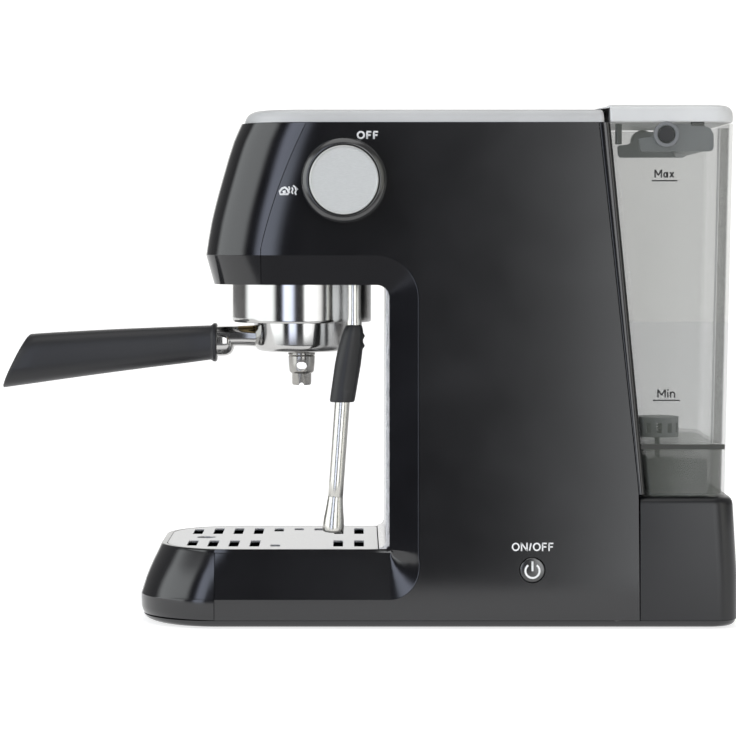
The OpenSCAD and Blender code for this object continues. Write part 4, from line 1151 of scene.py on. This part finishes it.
def wand_grip():
    """Rubber sleeve with two thumb ridges behind and a flat down its outer side."""
    rings = []
    outline = ((176.6, 4.3, 4.2), (176.0, 4.9, 4.6), (174.8, 5.4, 5.2), (172.8, 6.0, 5.9),
               (169.8, 6.5, 6.4), (164.7, 6.8, 7.1), (158.8, 6.8, 7.5), (153, 6.6, 7.7), (146, 6.3, 7.6),
               (138, 6.1, 7.5), (132.2, 6.0, 7.4), (131.1, 5.9, 7.2), (130.7, 5.4, 6.6), (130.7, 4.6, 4.7))
    heights = []
    for (za, xa, ya), (zb, xb, yb) in zip(outline, outline[1:]):
        steps = max(1, round((za - zb) / 0.7))
        heights += [(za + (zb - za) * i / steps, xa + (xb - xa) * i / steps, ya + (yb - ya) * i / steps)
                    for i in range(steps)]
    heights.append(outline[-1])
    for z, half_x, half_y in heights:
        ridge = math.exp(-((z - 169.6) / 1.3) ** 2) + math.exp(-((z - 163.8) / 1.3) ** 2)
        ring = []
        for i in range(64):
            turn = 2 * math.pi * i / 64
            c, s = math.cos(turn), math.sin(turn)
            flat = 0.9 * max(0.0, 1 - abs(turn - 0.35) / 0.5) if z > 137 else 0.0
            out = 1 + 0.16 * ridge * max(0.0, s) ** 6
            ring.append((WAND_X + half_x * c * (1 - 0.06 * flat), wand_y(z) + half_y * s * out, z))
        rings.append(ring)
    mesh_piece("wand_sleeve_grip", loft(rings), "steam_wand", MAT["rubber"], ("wand_grip",),
               angle=45)


def froth_sleeve():
    """Slim sleeve along the wand's lower part, wider at the nozzle."""
    top = Vector((0, wand_y(132.5), 132.5))
    tip = Vector((0, WAND_TIP[0], WAND_TIP[1]))
    length = (top - tip).length
    wide = (SLEEVE_HIGH.x - SLEEVE_LOW.x) / 2
    r = 4.45
    profile = [(2.6, 4.0), (3.0, 0.4), (3.6, 0.0), (wide - 1.0, 0.0), (wide - 0.3, 0.5), (wide, 1.6),
               (wide, 4.5), (wide - 0.3, 8.0), (wide - 0.9, 12.0), (r + 0.5, 16.0), (r + 0.2, 19.0),
               (r + 0.12, 21.0), (r - 0.1, 21.2), (r - 0.1, 21.5), (r, 21.7), (r, 30.0), (r, length - 0.4),
               (0.01, length)]
    bm = lathe(profile, (0, 0, 0), "Z", 56)
    aim(bm, (top - tip).normalized(), (WAND_X, tip.y, tip.z))
    mesh_piece("froth_tip", bm, "steam_wand", MAT["wand"], ("froth_sleeve",), angle=40)


# ---------- steam knob and power key ----------

# Middle and radii of the steam knob
KNOB_Y = (KNOB_LOW.y + KNOB_HIGH.y) / 2
KNOB_Z = (KNOB_LOW.z + KNOB_HIGH.z) / 2
KNOB_R = (KNOB_HIGH.z - KNOB_LOW.z) / 2
FACE_R = (FACE_HIGH.z - FACE_LOW.z) / 2


def steam_knob():
    """Collar, gripping ring with a wide bevel, and brushed face."""
    centre = (0, KNOB_Y, KNOB_Z)
    low, high = BEZEL_LOW.x - 1.0, BEZEL_HIGH.x
    wide = (BEZEL_HIGH.z - BEZEL_LOW.z) / 2
    profile = [(6.5, low), (wide, low), (wide, high - 0.8), (wide - 0.25, high - 0.25), (wide - 0.8, high),
               (6.5, high)]
    mesh_piece("knob_collar", lathe(profile + [profile[0]], centre, "X", 128), "housing", MAT["knob"],
               ("knob_bezel",), angle=25)
    low, high = KNOB_LOW.x, KNOB_HIGH.x
    profile = [(3.2, low), (KNOB_R - 0.5, low), (KNOB_R, low + 0.5), (KNOB_R, low + 6),
               (KNOB_R, high - 4.0), (KNOB_R - 0.15, high - 3.5), (KNOB_R - 1.1, high - 2.6),
               (KNOB_R - 2.3, high - 1.75), (KNOB_R - 3.0, high - 1.4), (KNOB_R - 3.3, high - 1.4),
               (FACE_R + 0.5, high - 1.7), (FACE_R + 0.25, high - 2.0), (FACE_R + 0.25, high - 2.6),
               (3.2, high - 2.6)]
    mesh_piece("knob_body", lathe(profile + [profile[0]], centre, "X", 160), "steam_knob", MAT["knob"],
               ("knob_grip",), angle=30)
    high = FACE_HIGH.x
    profile = [(0.01, high - 2.2), (FACE_R, high - 2.2), (FACE_R, high - 0.7), (FACE_R - 0.2, high - 0.25),
               (FACE_R - 0.55, high), (FACE_R - 1.1, high - 0.1), (FACE_R - 1.5, high - 0.35),
               (0.01, high - 0.35)]
    mesh_piece("knob_disc", lathe(profile, centre, "X", 160), "steam_knob", MAT["face"],
               ("knob_face",), angle=30)


# Middle and radius of the power key
POWER_Y = (POWER_LOW.y + POWER_HIGH.y) / 2
POWER_Z = (POWER_LOW.z + POWER_HIGH.z) / 2
POWER_R = (POWER_HIGH.z - POWER_LOW.z) / 2


def power_key():
    """Round power key with a rounded rim."""
    high = POWER_HIGH.x - 0.1
    profile = [(0.01, high), (POWER_R - 1.5, high), (POWER_R - 0.6, high - 0.15),
               (POWER_R - 0.15, high - 0.6), (POWER_R, high - 1.3), (POWER_R, POWER_LOW.x + 2),
               (3, POWER_LOW.x + 2), (3, POWER_LOW.x), (0.01, POWER_LOW.x)]
    mesh_piece("power_cap", lathe(profile, (0, POWER_Y, POWER_Z), "X", 80), "power_key", MAT["knob"],
               ("power_button",))


# ---------- markings ----------


def ribbon(path, width, closed=False):
    """Flat stroke along points (depth, height), as pairs of edge points."""
    left, right = [], []
    count = len(path)
    for i, point in enumerate(path):
        before = path[(i - 1) % count] if closed else path[max(i - 1, 0)]
        after = path[(i + 1) % count] if closed else path[min(i + 1, count - 1)]
        way = (Vector(after) - Vector(before)).normalized()
        side = Vector((-way.y, way.x)) * width / 2
        left.append(Vector(point) + side)
        right.append(Vector(point) - side)
    return left, right


def print_strokes(name, strokes, x_at, body, material):
    """Printed strokes as thin raised ribbons on a side face."""
    bm = bmesh.new()
    raised = 0.06
    for path, width, closed in strokes:
        left, right = ribbon(path, width, closed)
        rows = []
        for edge in (left, right):
            rows.append([(x_at(p.x, p.y) + raised, p.x, p.y) for p in edge])
        grid_faces(bm, rows, close=closed)
    piece = mesh_piece(name, bm, body, material)
    ink = piece.modifiers.new("ink", "SOLIDIFY")
    ink.thickness = 0.05 * MM
    ink.offset = 0.0


OVAL_STEPS = 26


def oval(centre, radii, start=0.0, end=360.0, steps=OVAL_STEPS):
    """Points along an upright oval, from one angle to another."""
    last = steps if end - start < 360 else steps - 1
    turns = [math.radians(start + (end - start) * i / steps) for i in range(last + 1)]
    return [(centre[0] + radii[0] * math.cos(a), centre[1] + radii[1] * math.sin(a)) for a in turns]


# Strokes of each letter in a box one wide and one tall, and the letter's width in cap heights
GLYPHS = {
    "O": ([oval((0.5, 0.5), (0.5, 0.5))], 1.05),
    "F": ([[(0, -0.1), (0, 1)], [(-0.1, 1), (1.1, 1)], [(0, 0.5), (0.95, 0.5)]], 0.72),
    "N": ([[(0, -0.1), (0, 1.1)], [(0, 1.05), (1, -0.05)], [(1, -0.1), (1, 1.1)]], 0.92),
    "/": ([[(0, -0.05), (1, 1.05)]], 0.4),
    "M": ([[(0, -0.1), (0, 1.1)], [(0, 1.05), (0.5, 0.25)], [(0.5, 0.25), (1, 1.05)],
           [(1, -0.1), (1, 1.1)]],
          1.1),
    "a": ([oval((0.42, 0.33), (0.42, 0.33)), [(0.95, 0.75), (0.95, -0.1)]], 0.72),
    "x": ([[(0, 0.72), (1, -0.05)], [(0, -0.05), (1, 0.72)]], 0.72),
    "i": ([[(0.5, -0.1), (0.5, 0.7)], [(0.5, 0.92), (0.5, 1.12)]], 0.2),
    "n": ([[(0, -0.1), (0, 0.75)], oval((0.5, 0.36), (0.5, 0.34), 180, 0, 12) + [(1, -0.1)]], 0.7),
}
# Gap between letters in cap heights
LETTER_GAP = 0.14


def word_strokes(word, centre, cap, width, stroke):
    """Strokes of a word in plain letters, spread over a width."""
    total = sum(GLYPHS[letter][1] for letter in word) + LETTER_GAP * (len(word) - 1)
    strokes = []
    left = centre[0] - width / 2
    low = centre[1] - cap / 2
    for letter in word:
        lines, share = GLYPHS[letter]
        wide = share * width / total
        for line in lines:
            closed = len(line) == OVAL_STEPS
            path = [(left + stroke / 2 + u * (wide - stroke), low + stroke / 2 + v * (cap - stroke))
                    for u, v in line]
            strokes.append((path, stroke, closed))
        left += wide + LETTER_GAP * width / total
    return strokes


def panel_face(y, z):
    """Outer face of the side panel at a depth and height."""
    return HALF_W - nose_inset(y, z) - lean(z)


def print_white(name, strokes, x_at, body):
    """White print on the machine."""
    print_strokes(name, strokes, x_at, body, MAT["print"])


def print_dark(name, strokes):
    """Water marks on the side of the tank."""
    print_strokes(name, strokes, lambda y, z: TANK_HALF, "tank", MAT["dark_print"])


def markings():
    """Generic words and signs on the panel, the power key and the tank."""
    panel_words = (("mark_off", "OFF", (-40.2, 287.3), 12.8, 1.1),
                   ("mark_on_off", "ON/OFF", (55.8, 47.8), 24.4, 0.85))
    for name, word, centre, width, stroke in panel_words:
        print_white(name, word_strokes(word, centre, 4.9, width, stroke), panel_face, "housing")
    cup = [(-91.2, 252.9), (-86.6, 252.9), (-86.2, 254.2), (-86.9, 255.8), (-88.4, 256.9), (-90.0, 256.3),
           (-91.4, 254.6)]
    strokes = [(cup, 1.2, True), ([(-89.6, 254.0), (-87.8, 254.6)], 1.6, False)]
    for step in range(3):
        y, z = -86.1 + step * 1.9, 257.4 - step * 0.5
        strokes.append(([(y, z), (y + 0.5, z - 1.4), (y - 0.1, z - 2.6), (y + 0.5, z - 3.9)], 0.95, False))
    strokes.append(([(-83.6, 258.0), (-80.8, 255.6)], 0.9, False))
    print_white("mark_steam", strokes, panel_face, "housing")
    power_face = POWER_HIGH.x - 0.1
    turns = spread(0.65, 2 * math.pi - 0.65, 40)
    ring = [(POWER_Y + 4.1 * math.sin(a), POWER_Z - 0.4 + 4.1 * math.cos(a)) for a in turns]
    bar = [(POWER_Y, POWER_Z + 5.2), (POWER_Y, POWER_Z - 0.6)]
    print_white("mark_power", [(ring, 1.15, False), (bar, 1.15, False)], lambda y, z: power_face,
                "power_key")
    for name, word, centre, width in (("mark_max", "Max", (132.7, 264.9), 11.6),
                                      ("mark_min", "Min", (133.8, 136.8), 10.6)):
        print_dark(name, word_strokes(word, centre, 4.8, width, 0.9))
    print_dark("mark_levels", [([(front, z), (rear, z)], 0.8, False)
                               for front, rear, z in ((125.4, 140.2, 260.8), (126.0, 141.6, 132.8))])


# ---------- water tank ----------

# Tank: half width, then the heights, fronts and rears of its lower and upper edge
TANK_HALF = TANK_HIGH.x - 0.05
TANK_Z = (76.8, 294.6)
TANK_FRONT = (122.2, 102.2)
TANK_REAR = (169.4, 174.4)
TANK_WALL = 2.0
TANK_REAR_R = 13.0
TANK_FLOOR = 105.5
# Axis of the bail, as (depth, height)
BOSS = (134.0, 287.8)


def tank_share(z):
    """Share of the tank's height, 0 at its lower edge and 1 at its upper one."""
    return (z - TANK_Z[0]) / (TANK_Z[1] - TANK_Z[0])


def tank_ring(z, inset):
    """Plan outline of the tank at a height, drawn in by an inset."""
    share = tank_share(z)
    front = TANK_FRONT[0] + (TANK_FRONT[1] - TANK_FRONT[0]) * share + inset
    rear = TANK_REAR[0] + (TANK_REAR[1] - TANK_REAR[0]) * share - inset
    return plan_ring(TANK_HALF - inset, front, rear, max(3.0 - inset, 0.6), max(TANK_REAR_R - inset, 2.0),
                     z, 12)


def water_tank():
    """Clear tank with a skirt below its floor, open at the top, with strips of painted shade and painted
    highlight on it.
    """
    low, high = TANK_Z
    rings = [tank_ring(low, 0.4), tank_ring(low + 0.4, 0)]
    rings += [tank_ring(z, 0) for z in spread(90, 285, 8)]
    rings += [tank_ring(high - 0.4, 0), tank_ring(high, 0.4), tank_ring(high, TANK_WALL - 0.4),
              tank_ring(high - 0.4, TANK_WALL)]
    rings += [tank_ring(z, TANK_WALL) for z in spread(285, 90, 8)]
    rings += [tank_ring(low + 0.4, TANK_WALL), tank_ring(low, TANK_WALL - 0.4), tank_ring(low, 0.4)]
    bm = loft(rings, False, False)
    mesh_piece("tank_shell", bm, "tank", MAT["smoke"], ("water_tank",), angle=40)
    rings = [tank_ring(TANK_FLOOR - 0.9, TANK_WALL + 0.9), tank_ring(TANK_FLOOR - 0.9, TANK_WALL + 0.25),
             tank_ring(TANK_FLOOR + 0.9, TANK_WALL + 0.15), tank_ring(TANK_FLOOR + 1.3, TANK_WALL + 0.5)]
    mesh_piece("tank_floor", loft(rings), "tank", MAT["smoke"], angle=40)
    # Painted shade: a dark strip across the wall at the floor's height stands for the dark line of the
    # floor seen edge-on.
    edge = [(TANK_FRONT[0] - 12.2, TANK_FLOOR - 1.3), (TANK_REAR[0] - 1.5, TANK_FLOOR - 1.3),
            (TANK_REAR[0] - 1.4, TANK_FLOOR + 1.6), (TANK_FRONT[0] - 12.6, TANK_FLOOR + 1.6)]
    bm = across(edge, (TANK_HALF - TANK_WALL - 0.8, TANK_HALF + 0.04))
    mesh_piece("tank_floor_edge_shade", bm, "tank", MAT["floor_edge_shade"], bevel=0.3)
    # Painted shade: a dark see-through liner inside the wall below the floor stands for the shade in that
    # chamber.
    liner = [tank_ring(z, inset) for z, inset in ((TANK_Z[0] + 1, TANK_WALL + 0.2),
                                                  (TANK_FLOOR - 1, TANK_WALL + 0.2),
                                                  (TANK_FLOOR - 1, TANK_WALL + 0.8),
                                                  (TANK_Z[0] + 1, TANK_WALL + 0.8),
                                                  (TANK_Z[0] + 1, TANK_WALL + 0.2))]
    mesh_piece("tank_skirt_shade", loft(liner, False, False), "tank", MAT["shade_smoke"],
               angle=40)
    # Painted shade: a dark post inside the right rear corner stands for the darker band along the rounded
    # corner.
    post = ((61.5, 7.7), (64.5, 8.0), (66.6, 6.7), (65.6, 3.7), (62.8, 3.0), (61.2, 3.4))
    # Painted highlight: a bright strip beside the post stands for the reflection line on the rounded rear
    # corner.
    ridge = ((63.6, 9.6), (65.0, 9.6), (65.0, 8.5), (63.6, 8.5))
    for name, outline, material in (("tank_post_shade", post, MAT["shade_smoke"]),
                                    ("tank_highlight_strip", ridge, MAT["ridge"])):
        rings = []
        for z in spread(TANK_FLOOR + 2, TANK_Z[1] - 3, 12):
            rear = TANK_REAR[0] + (TANK_REAR[1] - TANK_REAR[0]) * tank_share(z)
            rings.append([(x, rear - y, z) for x, y in outline])
        mesh_piece(name, loft(rings), "tank", material, bevel=0.3, angle=40)
    inside = TANK_HALF - TANK_WALL
    for side, word in ((-1, "left"), (1, "right")):
        out = TANK_HALF + 0.5
        ring = [(5.2, inside - 3.4), (7.4, inside - 3.4), (7.5, out - 0.4), (7.1, out), (5.6, out),
                (5.2, out - 0.5)]
        ring = [(r, side * x) for r, x in ring]
        mesh_piece("tank_boss_" + word, lathe(ring + [ring[0]], (0, *BOSS), "X", 64), "tank", MAT["boss"],
                   angle=25)
        pin = [(0.01, out - 0.3), (3.4, out - 0.3), (4.3, out - 0.4), (4.9, out - 1.0), (4.9, inside - 3.0),
               (0.01, inside - 3.0)]
        mesh_piece("bail_pin_" + word, lathe([(r, side * x) for r, x in pin], (0, *BOSS), "X", 48), "bail",
                   MAT["pin"], angle=30)
        x_low, x_high = sorted((side * (inside - 7.0), side * (inside - 0.6)))
        front = TANK_FRONT[1] + TANK_WALL + 0.6
        block("tank_rib_" + word, (x_low, front, TANK_Z[1] - 12.5), (x_high, front + 3.4, TANK_Z[1] - 0.5),
              "tank", MAT["rib"])


def tank_lid():
    """Silver lid, rounded behind, with a thin lip that slopes down over the gap in front."""
    half, rear = LID_HIGH.x, LID_HIGH.y
    front = LID_LOW.y + 8.2
    low, high = LID_LOW.z, LID_HIGH.z
    rings = []
    for z, inset in ((low, 0.5), (low + 0.4, 0.1), (low + 1.0, 0.0), (high - 4.6, 0.1), (high - 2.9, 0.7),
                     (high - 1.6, 1.7), (high - 0.7, 3.0), (high - 0.2, 4.4), (high, 6.2)):
        rings.append(plan_ring(half - inset * 0.8, front, rear - inset, 1.2, 12.5 - inset * 0.5, z, 14))
    bm = loft(rings)
    line = [(front + 1.5, high - 0.25), (front - 7.6, high - 2.3), (front - 8.1, high - 2.5),
            (front - 7.6, high - 2.65), (front + 1.5, high - 1.6)]
    add_mesh(bm, across(line, spread(-half + 3.2, half - 3.2, 2)))
    mesh_piece("lid_skin", bm, "lid", MAT["lid"], ("tank_lid",), angle=35)
    block("lid_latch", (half - 6.0, 148.6, low - 2.4), (half - 1.6, 156.2, low + 0.4), "lid", MAT["rib"])


def block(name, low, high, body, material):
    """Small moulded block with rounded edges."""
    bm = loft([[(low[0], low[1], z), (high[0], low[1], z), (high[0], high[1], z), (low[0], high[1], z)]
               for z in (low[2], high[2])])
    mesh_piece(name, bm, body, material, bevel=0.5)


def tank_handle():
    """Carrying handle inside the tank's mouth: two broad arms and a grip across them."""
    bm = bmesh.new()
    low, rear = 277.9, BAIL_HIGH.y + 1.2
    arm = [(118.5, low + 1.5), (119.5, low), (130, low), (150, low), (rear - 2.5, low),
           (rear - 0.7, low + 0.7), (rear, low + 2.5), (rear, 288), (rear - 2.0, 291.5),
           (rear - 6.0, 293.2), (148, 294.0), (134, 294.2), (129.5, 292.5), (127.5, 288.0), (124.5, 286.2),
           (119.0, 285.6), (118.0, 284.6)]
    for side in (-1, 1):
        outer = side * (BAIL_HIGH.x - 0.3)
        inner = outer - side * 3.2
        add_mesh(bm, across(arm, (inner, outer)))
    grip = arc_points((rear - 5.2, low + 3.6), 3.4, 180, 360, 10)
    grip += arc_points((rear - 5.2, low + 6.0), 3.4, 0, 180, 10)
    reach = BAIL_HIGH.x - 3.2
    add_mesh(bm, across(grip, spread(-reach, reach, 12)))
    mesh_piece("bail_grip", bm, "bail", MAT["grey"], ("tank_handle",), 0.4, 40)


dress_cad_nodes()
side_panels()
front_cover()
front_keys()
top_plate()
rear_spine()
tank_dock()
base_plate()
rubber_feet()
backsplash()
drip_tray()
drip_grate()
tray_float()
group_ring()
portafilter_holder()
filter_basket()
portafilter_spout()
portafilter_handle()
steam_pipe()
wand_grip()
froth_sleeve()
steam_knob()
power_key()
water_tank()
tank_lid()
tank_handle()
markings()


# ---------- camera, light and floor ----------

CAMERA = (1.725, -0.047, 0.2297)
LENS = 138.8
SHIFT = (0.0163, -0.182)
FLOOR_SIZE = 6.0

TOP_LIGHT = (0.2, -0.1, 1.9)
TOP_LIGHT_AIM = (0, 0, 0.15)
TOP_LIGHT_SIZE = 1.6
TOP_LIGHT_POWER = 9
# The pale floor ends this far out on the camera's side, in metres
FLOOR_END = 0.27
# Brightness of the studio at each bearing, in degrees from the machine's side towards its rear
STUDIO = [(-180, (1.22, 1.22, 1.2)), (-162, (1.22, 1.22, 1.2)), (-156, (0.26, 0.26, 0.26)),
          (-108, (0.18, 0.18, 0.18)), (-97, (2.1, 2.18, 2.2)), (-48, (2.1, 2.18, 2.2)),
          (-41, (0.02, 0.02, 0.02)), (-32, (0.02, 0.02, 0.02)), (-27, (2.2, 2.36, 2.9)),
          (-15, (1.8, 1.96, 2.35)), (-9, (0.05, 0.05, 0.05)), (3.5, (0.05, 0.05, 0.05)),
          (8, (3.2, 3.26, 3.3)), (16, (2.8, 2.86, 2.9)), (33, (1.5, 1.5, 1.5)), (37, (0.04, 0.04, 0.04)),
          (47, (0.04, 0.04, 0.04)), (50, (2.0, 2.0, 1.95)), (60, (1.8, 1.8, 1.7)), (65, (0.9, 0.9, 0.82)),
          (78, (0.9, 0.9, 0.82)), (84, (0.22, 0.22, 0.22)), (148, (0.30, 0.30, 0.30)),
          (158, (1.22, 1.22, 1.2)), (180, (1.22, 1.22, 1.2))]


def mix_above(tree, split, span, colour, below):
    """Mixes a plain colour over another one where the direction's height passes a span."""
    rise = tree.nodes.new("ShaderNodeMapRange")
    rise.inputs["From Min"].default_value = span[0]
    rise.inputs["From Max"].default_value = span[1]
    tree.links.new(split.outputs["Z"], rise.inputs["Value"])
    mix = tree.nodes.new("ShaderNodeMix")
    mix.data_type = "RGBA"
    mix.inputs[7].default_value = (*colour, 1)
    tree.links.new(rise.outputs["Result"], mix.inputs[0])
    tree.links.new(below, mix.inputs[6])
    return mix.outputs[2]


def studio_world():
    """Bright background with dark flags and soft boxes round the machine, and a bright ceiling."""
    world = bpy.data.worlds.new("studio")
    world.use_nodes = True
    tree = world.node_tree
    background = tree.nodes["Background"]
    background.inputs["Strength"].default_value = 1.0
    place = tree.nodes.new("ShaderNodeTexCoord")
    split = tree.nodes.new("ShaderNodeSeparateXYZ")
    tree.links.new(place.outputs["Generated"], split.inputs["Vector"])
    turn = tree.nodes.new("ShaderNodeMath")
    turn.operation = "ARCTAN2"
    tree.links.new(split.outputs["Y"], turn.inputs[0])
    tree.links.new(split.outputs["X"], turn.inputs[1])
    span = tree.nodes.new("ShaderNodeMapRange")
    span.inputs["From Min"].default_value = -math.pi
    span.inputs["From Max"].default_value = math.pi
    tree.links.new(turn.outputs["Value"], span.inputs["Value"])
    ramp = tree.nodes.new("ShaderNodeValToRGB")
    elements = ramp.color_ramp.elements
    for i, (angle, colour) in enumerate(STUDIO):
        element = elements[i] if i < 2 else elements.new(1.0)
        element.position = (angle + 180) / 360
        element.color = (*colour, 1)
    tree.links.new(span.outputs["Result"], ramp.inputs["Fac"])
    colour = mix_above(tree, split, (0.52, 0.62), (0.30, 0.30, 0.30), ramp.outputs["Color"])
    colour = mix_above(tree, split, (-0.20, -0.35), (0.26, 0.26, 0.27), colour)
    tree.links.new(colour, background.inputs["Color"])
    bpy.context.scene.world = world


def stage():
    """Camera and pale floor."""
    scene = bpy.context.scene
    data = bpy.data.cameras.new("camera")
    data.lens = LENS
    data.sensor_width = 36.0
    data.shift_x, data.shift_y = SHIFT
    camera = bpy.data.objects.new("camera", data)
    camera.location = CAMERA
    camera.rotation_euler = (math.pi / 2, 0, math.pi / 2)
    scene.collection.objects.link(camera)
    scene.camera = camera
    scene.view_settings.view_transform = "Standard"

    bpy.ops.mesh.primitive_plane_add(size=FLOOR_SIZE, location=(FLOOR_END - FLOOR_SIZE / 2, 0, -0.0002))
    floor = bpy.context.object
    floor.name = "floor"
    material, tree, shader = node_material("pale_floor")
    grain = textured(tree, "ShaderNodeTexNoise", 40.0)
    two_tone(tree, shader, grain.outputs["Fac"], (0.60, 0.60, 0.60), (0.62, 0.62, 0.62))
    shader.inputs["Roughness"].default_value = 0.9
    shader.inputs["Emission Color"].default_value = (1, 1, 1, 1)
    shader.inputs["Emission Strength"].default_value = 0.75
    floor.data.materials.append(material)


def top_light():
    """Large soft light above, aimed at the middle of the machine."""
    data = bpy.data.lights.new("top", "AREA")
    data.shape = "SQUARE"
    data.size = TOP_LIGHT_SIZE
    data.energy = TOP_LIGHT_POWER
    light = bpy.data.objects.new("top", data)
    light.location = TOP_LIGHT
    light.rotation_euler = (Vector(TOP_LIGHT_AIM) - Vector(TOP_LIGHT)).to_track_quat("-Z", "Y").to_euler()
    bpy.context.scene.collection.objects.link(light)


studio_world()
stage()
top_light()
